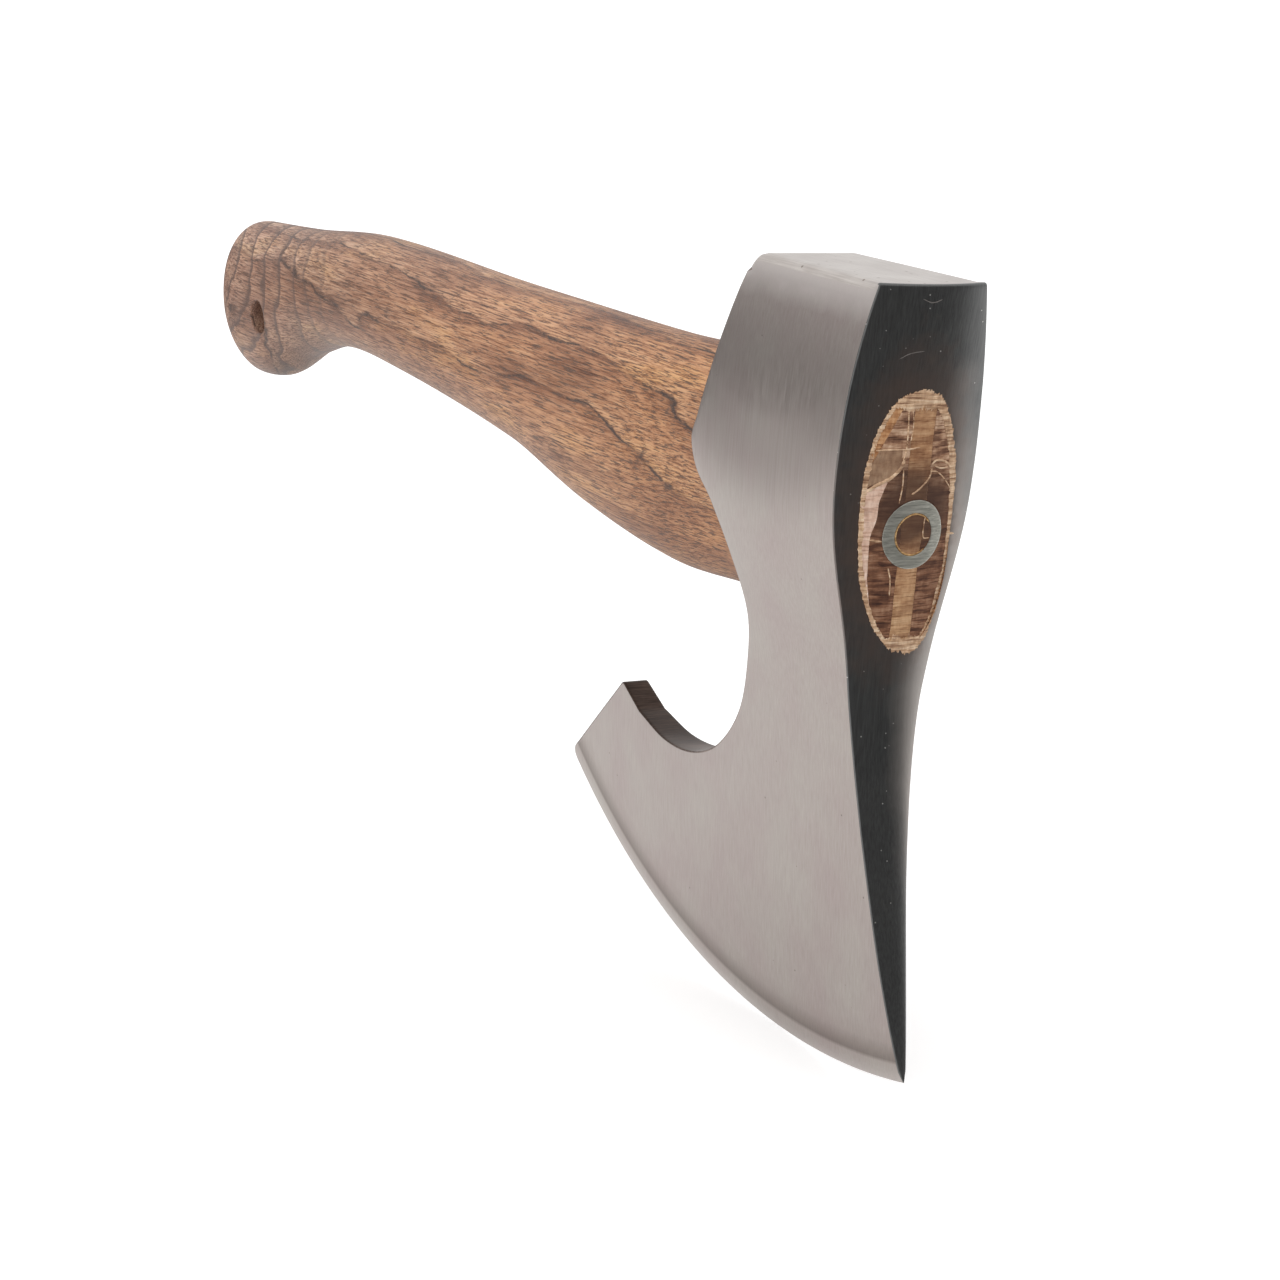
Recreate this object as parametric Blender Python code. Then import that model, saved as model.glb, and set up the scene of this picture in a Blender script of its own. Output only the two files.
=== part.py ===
# A bearded hatchet: one forged head, hung on a wooden handle whose tongue is spread in the eye by a
# wooden wedge and a steel ring. Slips of wood and hardened glue fill what is left of the eye.
# Metres, +Z up. The origin is the middle of the poll's flat face, +X runs along the handle towards
# the end of the eye, and the blade lies in the plane Y = 0.

import math

import bmesh
import bpy
from mathutils.geometry import delaunay_2d_cdt

for old in list(bpy.data.objects):
    bpy.data.objects.remove(old, do_unlink=True)

MM = 0.001

# Driving dimensions of the head
head_height = 151.5 * MM  # poll to the lowest point of the cutting edge
poll_length = 43.8 * MM
blade_reach = 140.2 * MM  # toe to heel, along X
edge_radius = 168 * MM  # curve of the cutting edge
belly_behind_toe = 43.7 * MM  # the edge's lowest point
edge_land = 0.2 * MM  # the cutting edge's own width
bevel_height = 2.2 * MM  # ground bevel along the cutting edge
bevel_thickness = 1.7 * MM
blade_root = 18.8 * MM  # thickness just below the eye
beard_thinning = 0.28  # share of its thickness that the blade loses from the end face to the beard
poll_narrowing = 0.24  # share of its thickness that the head loses at the poll
shoulder_drop = 32.5 * MM  # where that narrowing starts
cheek_wall = 5 * MM  # steel beside the eye
crown = 3 * MM  # how far the end face swells between its side edges
end_hollow = 4.6 * MM  # the end face's waist stands this far behind the poll's end
toe_forward = 16.7 * MM  # and the toe this far in front of the waist
lug_reach = 15.6 * MM  # the lugs' points, behind the poll
beard_reach = 56.3 * MM  # the beard's point, behind the poll
neck_forward = 3.7 * MM  # the neck's narrowest place, in front of the poll's back
corner_round = 3 * MM

# Driving dimensions of what is in the eye
eye_width = 19.6 * MM
eye_height = 47.6 * MM
eye_drop = 43.2 * MM  # poll to the eye's middle
eye_lean = 0.06  # sideways run of the eye's long axis for each unit down
eye_draft = 0.6 * MM  # each side of the eye closes in by this much from its end to its back
fit_gap = 0.3 * MM  # between any two neighbouring pieces
wedge_thickness = 4.6 * MM
wedge_tip = 1 * MM
wedge_depth = 34 * MM
wedge_aside = 0.7 * MM  # its middle, beside the blade's plane
ring_radius = 6.4 * MM
ring_wall = 2.4 * MM
ring_depth = 16 * MM
ring_aside = 1.2 * MM
ring_drop = 2.3 * MM  # below the eye's middle
slip_depth = 12 * MM  # the shim, the chip and the glue
slip_reach = 14 * MM  # their outlines end this far outside the eye's middle plane

# Driving dimensions of the handle
handle_length = 347.5 * MM  # end of the eye to the end of the knob
knob_drop = 5.2 * MM  # the knob's end, below the eye's middle
hole_radius = 4.25 * MM
hole_from_end = 46 * MM
hole_drop = 7.5 * MM
grip_start = 1 * MM  # where the tongue ends below the lugs, behind the poll
knob_round_top = 24 * MM  # lengths over which the knob closes
knob_round_bottom = 30 * MM
knob_round_sides = 36 * MM

# The grip's size above, below and beside the eye's axis, at shares of its length from the head
grip_top = [(0.143, 21.4 * MM), (0.39, 20.8 * MM), (0.66, 21.5 * MM), (0.81, 17.8 * MM), (1, 14.6 * MM)]
grip_bottom = [
    (0.05, 24.6 * MM),
    (0.124, 25.7 * MM),
    (0.24, 21.5 * MM),
    (0.36, 14.3 * MM),
    (0.62, 8.6 * MM),
    (0.72, 9.4 * MM),
    (0.8, 15.5 * MM),
    (0.876, 24.8 * MM),
    (1, 24.8 * MM),
]
grip_side = [(0.17, 12.2 * MM), (0.29, 12.8 * MM), (0.62, 12.1 * MM), (0.84, 11.8 * MM), (1, 12 * MM)]

# How finely the shapes are divided
cheek_step = 4 * MM
strips_across = 8
section_points = 36
grip_sections = 48
turn_points = 48
past_end = 12 * MM  # how far the raw pieces stand out of the eye before they are cut back

head_half = eye_width / 2 + cheek_wall
poll_half = poll_length / 2
waist_x = poll_half - end_hollow
end_x = waist_x + crown  # the end of the eye
toe_x = waist_x + toe_forward
lug_x = -poll_half - lug_reach
axis_z = -eye_drop
edge_centre_x = toe_x - belly_behind_toe
edge_centre_z = edge_radius - head_height
knob_x = end_x - handle_length
grip_x = -poll_half - grip_start
grip_length = grip_x - knob_x


def hermite(knots, at):
    """The value at one place of a smooth curve through (place, value) knots."""
    if at <= knots[0][0]:
        return knots[0][1]
    if at >= knots[-1][0]:
        return knots[-1][1]
    i = max(k for k in range(len(knots) - 1) if knots[k][0] <= at)
    slopes = []
    for k in (i, i + 1):
        before = knots[max(k - 1, 0)]
        after = knots[min(k + 1, len(knots) - 1)]
        slopes.append((after[1] - before[1]) / (after[0] - before[0]))
    (x0, y0), (x1, y1) = knots[i], knots[i + 1]
    width = x1 - x0
    u = (at - x0) / width
    v = 1 - u
    return (
        y0 * v * v * (1 + 2 * u)
        + y1 * u * u * (1 + 2 * v)
        + width * u * v * (slopes[0] * v - slopes[1] * u)
    )


def smooth_line(points, steps):
    """A smooth line through these points, without the last of them."""
    far = [0.0]
    for a, b in zip(points, points[1:]):
        far.append(far[-1] + math.dist(a, b))
    line = []
    for i in range(len(points) - 1):
        for k in range(steps):
            at = far[i] + (far[i + 1] - far[i]) * k / steps
            line.append(tuple(hermite(list(zip(far, axis)), at) for axis in zip(*points)))
    return line


def rounded(before, corner, after, radius, steps=4):
    """A rounded corner, as points."""
    start, end = (
        [c + (o - c) * radius / math.dist(corner, other) for c, o in zip(corner, other)]
        for other in (before, after)
    )
    line = []
    for k in range(steps + 1):
        u = k / steps
        shares = ((1 - u) ** 2, 2 * u * (1 - u), u**2)
        line.append(tuple(sum(s * v for s, v in zip(shares, axis)) for axis in zip(start, corner, end)))
    return line


def oval(half_width, half_height, angle):
    """A point of an oval that is a little fuller than an ellipse, as (y, z)."""
    fullness = 0.92
    side, up = math.cos(angle), math.sin(angle)
    return (
        half_width * math.copysign(abs(side) ** fullness, side),
        half_height * math.copysign(abs(up) ** fullness, up),
    )


def edge_distance(x, z):
    """How far a place of the blade is from the cutting edge."""
    return edge_radius - math.hypot(x - edge_centre_x, z - edge_centre_z)


def edge_z(x):
    return edge_centre_z - math.sqrt(edge_radius**2 - (x - edge_centre_x) ** 2)


root_distance = edge_distance(waist_x, axis_z - eye_height / 2)
blade_profile = [
    (0, edge_land / 2),
    (bevel_height, bevel_thickness / 2),
    (0.24 * root_distance, 0.3 * blade_root / 2),
    (0.54 * root_distance, 0.52 * blade_root / 2),
    (0.82 * root_distance, 0.76 * blade_root / 2),
    (root_distance, blade_root / 2),
    (edge_distance(waist_x, axis_z), 0.965 * head_half),
    (edge_distance(waist_x, axis_z + eye_height / 2), head_half),
]


def half_thickness(x, z):
    """Half of the head's thickness at a place in its side view."""
    flat = bevel_thickness / 2 / bevel_height
    away = max(edge_distance(x, z), 0)
    if away < bevel_height:
        half = edge_land / 2 + away * (flat - edge_land / 2 / bevel_height)
    else:
        half = hermite(blade_profile, away)
    back = max(end_x - x, 0) / (end_x + poll_half + beard_reach)
    above = max(1 + z / shoulder_drop, 0)
    return half * (1 - beard_thinning * back**2) * (1 - poll_narrowing * above**2)


def end_edge_x(z):
    """The end face's side edges: forward at the poll, then a waist, then out to the toe."""
    share = -z / head_height
    toe_share = -edge_z(toe_x) / head_height
    poll_part = max(1 - share / 0.36, 0) ** 2
    toe_part = (max(share - 0.5, 0) / (toe_share - 0.5)) ** 1.5
    return waist_x + end_hollow * poll_part + toe_forward * toe_part


def end_face_x(y, z):
    half = half_thickness(end_edge_x(z), z)
    return end_edge_x(z) + crown * half / head_half * (1 - (y / half) ** 2)


def head_outline():
    """The head's side view, as (x, z) points, and how many of them run down the end face."""
    toe = (toe_x, edge_z(toe_x))
    end_steps = 26
    outline = []
    for k in range(end_steps):
        z = toe[1] * k / end_steps
        outline.append((end_edge_x(z), z))
    heel_x = toe_x - blade_reach
    heel = (heel_x, edge_z(heel_x))
    edge_steps = 36
    edge = []
    for k in range(edge_steps):
        x = toe_x - blade_reach * k / edge_steps
        edge.append((x, edge_z(x)))
    outline += edge[:-1]
    point = (-poll_half - beard_reach, -0.651 * head_height)
    outline += rounded(edge[-2], heel, point, corner_round)
    notch = [
        (-poll_half - 0.85 * beard_reach, -0.679 * head_height),
        (-poll_half - 0.63 * beard_reach, -0.696 * head_height),
        (-poll_half - 0.41 * beard_reach, -0.69 * head_height),
        (-poll_half - 0.21 * beard_reach, -0.659 * head_height),
        (-poll_half - 0.04 * beard_reach, -0.594 * head_height),
        (-poll_half + 0.6 * neck_forward, -0.515 * head_height),
        (-poll_half + neck_forward, axis_z - 0.52 * eye_height),
        (-poll_half - 0.03 * lug_reach, axis_z - 0.3 * eye_height),
        (-poll_half - 0.44 * lug_reach, axis_z - 0.12 * eye_height),
        (-poll_half - 0.85 * lug_reach, axis_z - 0.01 * eye_height),
        (lug_x, axis_z + 0.11 * eye_height),
        (-poll_half - 0.87 * lug_reach, axis_z + 0.21 * eye_height),
        (-poll_half - 0.47 * lug_reach, -0.115 * head_height),
        (-poll_half - 0.21 * lug_reach, -0.047 * head_height),
    ]
    outline += rounded(heel, point, notch[0], corner_round / 3)
    corner = (-poll_half, 0)
    outline += smooth_line(notch, 3)
    outline.append(notch[-1])
    outline += rounded(notch[-1], corner, (0, 0), corner_round)
    steps = 7
    for k in range(1, steps):
        outline.append((-poll_half + corner_round + (2 * poll_half - corner_round) * k / steps, 0))
    return outline, end_steps + 1


def inside(outline, x, z, margin):
    """Whether a place lies in the outline, and at least this far from its points."""
    if min(math.dist((x, z), point) for point in outline) < margin:
        return False
    crossings = 0
    for (x0, z0), (x1, z1) in zip(outline, outline[1:] + outline[:1]):
        if (z0 > z) != (z1 > z) and x < x0 + (z - z0) / (z1 - z0) * (x1 - x0):
            crossings += 1
    return crossings % 2 == 1


def new_object(name, points, faces):
    mesh = bpy.data.meshes.new(name)
    mesh.from_pydata(points, [], faces)
    mesh.validate()
    made = bpy.data.objects.new(name, mesh)
    bpy.context.scene.collection.objects.link(made)
    form = bmesh.new()
    form.from_mesh(mesh)
    bmesh.ops.recalc_face_normals(form, faces=form.faces)
    form.to_mesh(mesh)
    form.free()
    return made


def cutter(name, points, faces):
    made = new_object(name, points, faces)
    made.hide_render = True
    made.display_type = "WIRE"
    return made


def combine(target, other, operation):
    step = target.modifiers.new(f"{operation.lower()} {other.name}", "BOOLEAN")
    step.operation = operation
    step.solver = "EXACT"
    step.object = other


def finish(made, colour, metallic, roughness, sharp_above=30):
    material = bpy.data.materials.new(made.name)
    material.use_nodes = True
    shader = material.node_tree.nodes["Principled BSDF"]
    shader.inputs["Base Color"].default_value = (*colour, 1)
    shader.inputs["Metallic"].default_value = metallic
    shader.inputs["Roughness"].default_value = roughness
    made.data.materials.append(material)
    made.data.shade_smooth()
    made.data.set_sharp_from_angle(angle=math.radians(sharp_above))


def loft(rings):
    """The points and faces of a closed skin over rings of equally many points."""
    count = len(rings[0])
    points = [point for ring in rings for point in ring]
    faces = [tuple(range(count)), tuple(range(len(points) - count, len(points)))]
    for r in range(len(rings) - 1):
        for k in range(count):
            a, b = r * count + k, r * count + (k + 1) % count
            faces.append((a, b, b + count, a + count))
    return points, faces


def prism(outline, x0, x1):
    """A straight bar along X with a (y, z) outline."""
    return loft([[(x, y, z) for y, z in outline] for x in (x0, x1)])


def grown(outline, by):
    """A convex outline with each side moved outwards."""
    count = len(outline)
    area = sum(a[0] * b[1] - b[0] * a[1] for a, b in zip(outline, outline[1:] + outline[:1]))
    turn = math.copysign(1, area)
    points = []
    for i, corner in enumerate(outline):
        before, after = outline[i - 1], outline[(i + 1) % count]
        into = [(c - p) / math.dist(corner, before) for c, p in zip(corner, before)]
        out = [(p - c) / math.dist(corner, after) for c, p in zip(corner, after)]
        normals = [(turn * d[1], -turn * d[0]) for d in (into, out)]
        middle = [sum(pair) for pair in zip(*normals)]
        length = 2 * by / (middle[0] ** 2 + middle[1] ** 2)
        points.append(tuple(c + m * length for c, m in zip(corner, middle)))
    return points


def make_head():
    outline, end_points = head_outline()
    inner = []
    row = 0
    z = -cheek_step / 2
    while z > -head_height:
        x = toe_x - blade_reach + (row % 2) * cheek_step / 2
        while x < toe_x:
            near_edge = edge_distance(x, z) < bevel_height + 0.6 * cheek_step
            if not near_edge and inside(outline, x, z, 0.6 * cheek_step):
                inner.append((x, z))
            x += cheek_step
        z -= cheek_step * math.sqrt(3) / 2
        row += 1
    bevel_radius = edge_radius - bevel_height
    steps = int(blade_reach / cheek_step)
    for k in range(steps + 1):
        x = toe_x - blade_reach * k / steps
        z = edge_centre_z - math.sqrt(bevel_radius**2 - (x - edge_centre_x) ** 2)
        if inside(outline, x, z, 0.4 * bevel_height):
            inner.append((x, z))
    places = [(x / MM, z / MM) for x, z in outline + inner]
    count = len(outline)
    flat, _, triangles, *_ = delaunay_2d_cdt(places, [], [list(range(count))], 1, 1e-4)
    flat = [(x * MM, z * MM) for x, z in flat]
    points = []
    for side in (-1, 1):
        points += [(x, side * half_thickness(x, z), z) for x, z in flat]
    faces = [tuple(face) for face in triangles]
    faces += [tuple(len(flat) + k for k in reversed(face)) for face in triangles]
    columns = []
    for i, (x, z) in enumerate(outline):
        half = half_thickness(x, z)
        swell = crown * half / head_half if i < end_points else 0
        column = [i]
        for k in range(1, strips_across):
            across = 2 * k / strips_across - 1
            column.append(len(points))
            points.append((x + swell * (1 - across**2), across * half, z))
        columns.append(column + [len(flat) + i])
    for a, b in zip(columns, columns[1:] + columns[:1]):
        for k in range(strips_across):
            faces.append((a[k], b[k], b[k + 1], a[k + 1]))
    return new_object("axe_head", points, faces)


def eye_rings(less, xs):
    """Sections of the eye, or of what fills it when they are made smaller."""
    rings = []
    for x in xs:
        closed = eye_draft * (end_x - x) / (end_x - lug_x)
        half_width = eye_width / 2 - closed - less
        half_height = eye_height / 2 - closed - less
        ring = []
        for k in range(section_points):
            y, z = oval(half_width, half_height, 2 * math.pi * k / section_points)
            ring.append((x, y - eye_lean * z, axis_z + z))
        rings.append(ring)
    return rings


def closing(x, length):
    """How open the knob is at a place: 1 along the grip, and near 0 at the knob's end."""
    left = 1 - min((x - knob_x) / length, 1)
    return max(math.sqrt(1 - left**2), 0.02)


def grip_rings():
    """Sections of the handle from the knob's end to the tongue."""
    tongue_side = eye_width / 2 - eye_draft - fit_gap
    tongue_up = eye_height / 2 - eye_draft - fit_gap
    lug_share = (grip_x - lug_x) / grip_length
    top = [(0, tongue_up), (0.8 * lug_share, tongue_up)] + grip_top
    bottom = [(0, tongue_up)] + grip_bottom
    side = [(0, tongue_side), (lug_share, tongue_side)] + grip_side
    lean = [(0, eye_lean), (lug_share, eye_lean), (0.3, 0)]
    rings = []
    for k in range(grip_sections):
        from_end = (k / grip_sections) ** 1.6
        x = knob_x + grip_length * from_end
        high = (hermite(top, 1 - from_end) + knob_drop) * closing(x, knob_round_top) - knob_drop
        low = (hermite(bottom, 1 - from_end) - knob_drop) * closing(x, knob_round_bottom) + knob_drop
        half_width = hermite(side, 1 - from_end) * closing(x, knob_round_sides)
        ring = []
        for j in range(section_points):
            y, z = oval(half_width, (high + low) / 2, 2 * math.pi * j / section_points)
            z += (high - low) / 2
            ring.append((x, y - hermite(lean, 1 - from_end) * z, axis_z + z))
        rings.append(ring)
    return rings


def tube(name, radius, wall, x0, x1, make):
    """A straight tube along X on the ring's axis."""
    z = axis_z - ring_drop
    profile = [(x0, radius - wall), (x0, radius), (x1, radius), (x1, radius - wall)]
    points = []
    for k in range(turn_points):
        turn = 2 * math.pi * k / turn_points
        for x, r in profile:
            points.append((x, ring_aside + r * math.cos(turn), z + r * math.sin(turn)))
    faces = []
    for k in range(turn_points):
        a, b = 4 * k, 4 * ((k + 1) % turn_points)
        for j in range(4):
            faces.append((a + j, a + (j + 1) % 4, b + (j + 1) % 4, b + j))
    return make(name, points, faces)


def end_trim():
    """Everything in front of the end face, which the pieces in the eye are cut back to."""
    across, down = 14, 28
    reach = 0.98 * head_half
    points = []
    for j in range(down + 1):
        z = axis_z + eye_height * (0.6 - 1.2 * j / down)
        for i in range(across + 1):
            y = reach * (2 * i / across - 1)
            points.append((end_face_x(y, z), y, z))
    count = len(points)
    points += [(end_x + past_end, y, z) for _, y, z in points]
    faces = []
    row = across + 1
    for j in range(down):
        for i in range(across):
            a = j * row + i
            faces.append((a, a + 1, a + row + 1, a + row))
            faces.append((count + a, count + a + 1, count + a + row + 1, count + a + row))
    rim = list(range(row)) + [j * row + across for j in range(1, down + 1)]
    rim += [down * row + i for i in range(across - 1, -1, -1)]
    rim += [j * row for j in range(down - 1, 0, -1)]
    for a, b in zip(rim, rim[1:] + rim[:1]):
        faces.append((a, b, b + count, a + count))
    return cutter("end_trim", points, faces)


def wedge_outline(more):
    """The wedge seen from above, as (x, y) points."""
    slope = (wedge_thickness - wedge_tip) / 2 / wedge_depth
    front = wedge_thickness / 2 + past_end * slope + more
    back = wedge_tip / 2 + more
    tip_x = end_x - wedge_depth - more
    out_x = end_x + past_end
    return [
        (tip_x, wedge_aside - back),
        (out_x, wedge_aside - front),
        (out_x, wedge_aside + front),
        (tip_x, wedge_aside + back),
    ]


def wedge_block(name, more, make):
    reach = eye_height / 2 + past_end
    rings = [[(x, y, axis_z + z) for x, y in wedge_outline(more)] for z in (-reach, reach)]
    return make(name, *loft(rings))


def slips():
    """What fills the eye beside the tongue, as outlines of (y, z) from the eye's middle."""
    w, h = eye_width / 2, eye_height / 2
    return {
        "eye_shim": [
            (-0.33 * w, 0.95 * h),
            (-0.33 * w, 1.3 * h),
            (-slip_reach, 1.3 * h),
            (-slip_reach, 0.44 * h),
            (-0.92 * w, 0.44 * h),
        ],
        "eye_chip": [
            (-0.33 * w, 0.56 * h),
            (-slip_reach, 0.56 * h),
            (-slip_reach, 0.25 * h),
            (-0.5 * w, 0.35 * h),
        ],
        "glue_fillet": [
            (-0.95 * w, 0.27 * h),
            (-slip_reach, 0.27 * h),
            (-slip_reach, -1.3 * h),
            (-0.4 * w, -1.3 * h),
            (-0.42 * w, -0.95 * h),
        ],
    }


def slip_bar(name, outline, more, make):
    outline = grown(outline, more) if more else outline
    outline = [(y, axis_z + z) for y, z in outline]
    return make(name, *prism(outline, end_x - slip_depth - more, end_x + past_end))


def make_handle(cutters):
    tongue = eye_rings(fit_gap, (grip_x, end_x + past_end))
    handle = new_object("handle", *loft(grip_rings() + tongue))
    for room in cutters:
        combine(handle, room, "DIFFERENCE")
    finish(handle, (0.22, 0.10, 0.05), 0, 0.5, 50)


def lanyard_hole():
    x = knob_x + hole_from_end
    z = axis_z - hole_drop
    turns = [2 * math.pi * k / turn_points for k in range(turn_points)]
    rings = []
    for y in (-eye_width, eye_width):
        rings.append([(x + hole_radius * math.cos(t), y, z + hole_radius * math.sin(t)) for t in turns])
    return cutter("lanyard_hole", *loft(rings))


trim = end_trim()
eye_void = cutter("eye_void", *loft(eye_rings(0, (lug_x - past_end, end_x + past_end))))
tongue_form = cutter("tongue_form", *loft(eye_rings(fit_gap, (lug_x, end_x + past_end))))
kerf = wedge_block("kerf", fit_gap, cutter)
groove_start = end_x - ring_depth - fit_gap
groove_wall = ring_wall + 2 * fit_gap
groove = tube("ring_groove", ring_radius + fit_gap, groove_wall, groove_start, end_x + past_end, cutter)

head = make_head()
combine(head, eye_void, "DIFFERENCE")
finish(head, (0.36, 0.34, 0.33), 1, 0.38)

wedge = wedge_block("kerf_wedge", 0, new_object)
combine(wedge, tongue_form, "INTERSECT")
combine(wedge, groove, "DIFFERENCE")
combine(wedge, trim, "DIFFERENCE")
finish(wedge, (0.55, 0.33, 0.14), 0, 0.7)

ring = tube("ring_wedge", ring_radius, ring_wall, end_x - ring_depth, end_x + past_end, new_object)
combine(ring, trim, "DIFFERENCE")
finish(ring, (0.26, 0.27, 0.24), 1, 0.45)

slip_looks = {
    "eye_shim": ((0.42, 0.17, 0.04), 0.7),
    "eye_chip": ((0.20, 0.10, 0.05), 0.6),
    "glue_fillet": ((0.62, 0.42, 0.32), 0.5),
}
slip_rooms = []
for name, outline in slips().items():
    slip = slip_bar(name, outline, 0, new_object)
    combine(slip, tongue_form, "INTERSECT")
    for room in slip_rooms:
        combine(slip, room, "DIFFERENCE")
    combine(slip, trim, "DIFFERENCE")
    colour, roughness = slip_looks[name]
    finish(slip, colour, 0, roughness)
    slip_rooms.append(slip_bar(f"{name}_room", outline, fit_gap, cutter))

make_handle([kerf, groove, lanyard_hole(), *slip_rooms, trim])
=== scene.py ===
import math

import bmesh
import bpy
import numpy as np
from mathutils import Matrix, Vector, noise
from mathutils.geometry import delaunay_2d_cdt


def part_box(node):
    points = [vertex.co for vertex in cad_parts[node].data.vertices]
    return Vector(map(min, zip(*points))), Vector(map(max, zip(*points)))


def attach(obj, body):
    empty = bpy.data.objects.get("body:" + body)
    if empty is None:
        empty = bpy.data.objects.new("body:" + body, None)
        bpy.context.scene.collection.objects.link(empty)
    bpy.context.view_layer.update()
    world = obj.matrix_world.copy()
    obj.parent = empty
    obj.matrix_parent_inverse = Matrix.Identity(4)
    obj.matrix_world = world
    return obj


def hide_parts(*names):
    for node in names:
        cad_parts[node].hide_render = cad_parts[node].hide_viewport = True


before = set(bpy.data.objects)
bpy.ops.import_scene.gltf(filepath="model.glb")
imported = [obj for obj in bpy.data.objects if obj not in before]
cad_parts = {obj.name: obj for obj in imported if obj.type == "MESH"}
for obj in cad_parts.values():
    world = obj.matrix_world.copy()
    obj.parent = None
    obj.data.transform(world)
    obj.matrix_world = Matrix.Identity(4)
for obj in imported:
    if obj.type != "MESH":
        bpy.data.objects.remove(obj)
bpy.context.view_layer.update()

mm = 0.001
headLow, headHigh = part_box("axe_head")
handleLow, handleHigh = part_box("handle")
ringLow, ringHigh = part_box("ring_wedge")
print("frame loaded", sorted(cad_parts))

# Stage: a pale sweep of floor, soft light from all round, and the camera
stage = {
    "floorSize": 60,
    "floorColour": "#fbfbfb",
    "floorGlow": 0.26,  # keeps it near white under the blade
    "worldColour": "#ffffff",
    "worldStrength": 1.04,
    "cameraPlace": (0.4292, -0.2778, 0.0569),
    "cameraRight": (0.4668, 0.8823, 0.0597),
    "cameraUp": (-0.2448, 0.0641, 0.9675),
    "cameraBack": (0.8498, -0.4663, 0.2459),
    "lens": 78.75,
    "lights": [
        # name, place, size, power
        ("keySoftbox", (-0.3, -1.4, 0.1), 1.2, 14),
    ],
    # two grey cards that the satin steel has to face, and one that dims the light from below:
    # name, middle, bearings, near, far, height, grey, the rays that see it
    "cards": [
        ("endCard", (0.02, 0.0), (-62, 66), 0.04, 0.8, 0.9, "#868686", "glossy"),
        ("cheekCard", (-0.02, -0.02), (165, 255), 0.66, 1.3, 0.19, "#706e6d", "glossy"),
        ("underCard", (-0.15, 0.0), (0, 360), 0.001, 0.6, -0.001, "#8a8684", "diffuse"),
    ],
    "lightTarget": (-0.08, 0, -0.06),
}


def toLinear(hexColour):
    levels = [int(hexColour[k:k + 2], 16) / 255 for k in (1, 3, 5)]
    linear = [v / 12.92 if v <= 0.04045 else ((v + 0.055) / 1.055) ** 2.4 for v in levels]
    return (*linear, 1)


def addNode(tree, kind, settings=None, inputs=None):
    # one node, its settings, and what goes into it: a number, a colour, a node or a node's output
    node = tree.nodes.new("ShaderNode" + kind)
    for name, value in (settings or {}).items():
        if name == "stops":
            elements = node.color_ramp.elements
            while len(elements) < len(value):
                elements.new(0.5)
            for element, (place, level) in zip(elements, value):
                element.position = place
                element.color = toLinear(level) if isinstance(level, str) else (level, level, level, 1)
        else:
            setattr(node, name, value)
    for name, value in (inputs or {}).items():
        if isinstance(name, int):
            socket = node.inputs[name]
        else:
            socket = next(s for s in node.inputs if s.name == name and s.enabled)
        if isinstance(value, bpy.types.Node):
            value = next(s for s in value.outputs if s.enabled)
        if isinstance(value, bpy.types.NodeSocket):
            tree.links.new(value, socket)
        elif isinstance(value, str):
            socket.default_value = toLinear(value)
        else:
            socket.default_value = value
    return node


def newMaterial(name, roughness, metallic=0.0):
    material = bpy.data.materials.new(name)
    material.use_nodes = True
    tree = material.node_tree
    shader = tree.nodes["Principled BSDF"]
    shader.inputs["Roughness"].default_value = roughness
    shader.inputs["Metallic"].default_value = metallic
    place = addNode(tree, "TexCoord").outputs["Object"]
    return material, tree, shader, place


def onCircle(centre, radius, turn):
    return centre[0] + radius * math.cos(turn), centre[1] + radius * math.sin(turn)


def addCard(name, middle, bearings, near, far, height, grey, seenBy):
    # part of a flat ring with a far rim that stands up, just above the floor, or under it to dim it
    steps = 24
    base = headLow.z - (1 * mm if seenBy == "diffuse" else 0)
    points = []
    for radius, rise in ((near, 0), (far, 0), (far, height)):
        for k in range(steps + 1):
            turn = math.radians(bearings[0] + (bearings[1] - bearings[0]) * k / steps)
            points.append((*onCircle(middle, radius, turn), base + rise))
    corners = [j * (steps + 1) + k for j in range(2) for k in range(steps)]
    faces = [(a, a + 1, a + steps + 2, a + steps + 1) for a in corners]
    mesh = bpy.data.meshes.new(name)
    mesh.from_pydata(points, [], faces)
    card = bpy.data.objects.new(name, mesh)
    bpy.context.scene.collection.objects.link(card)
    material = bpy.data.materials.new(name)
    material.use_nodes = True
    tree = material.node_tree
    tree.nodes.remove(tree.nodes["Principled BSDF"])
    glow = addNode(tree, "Emission", inputs={"Color": grey})
    tree.links.new(glow.outputs[0], tree.nodes["Material Output"].inputs["Surface"])
    mesh.materials.append(material)
    for ray in ("camera", "diffuse", "glossy", "transmission", "volume_scatter", "shadow"):
        setattr(card, "visible_" + ray, ray == seenBy)


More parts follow.
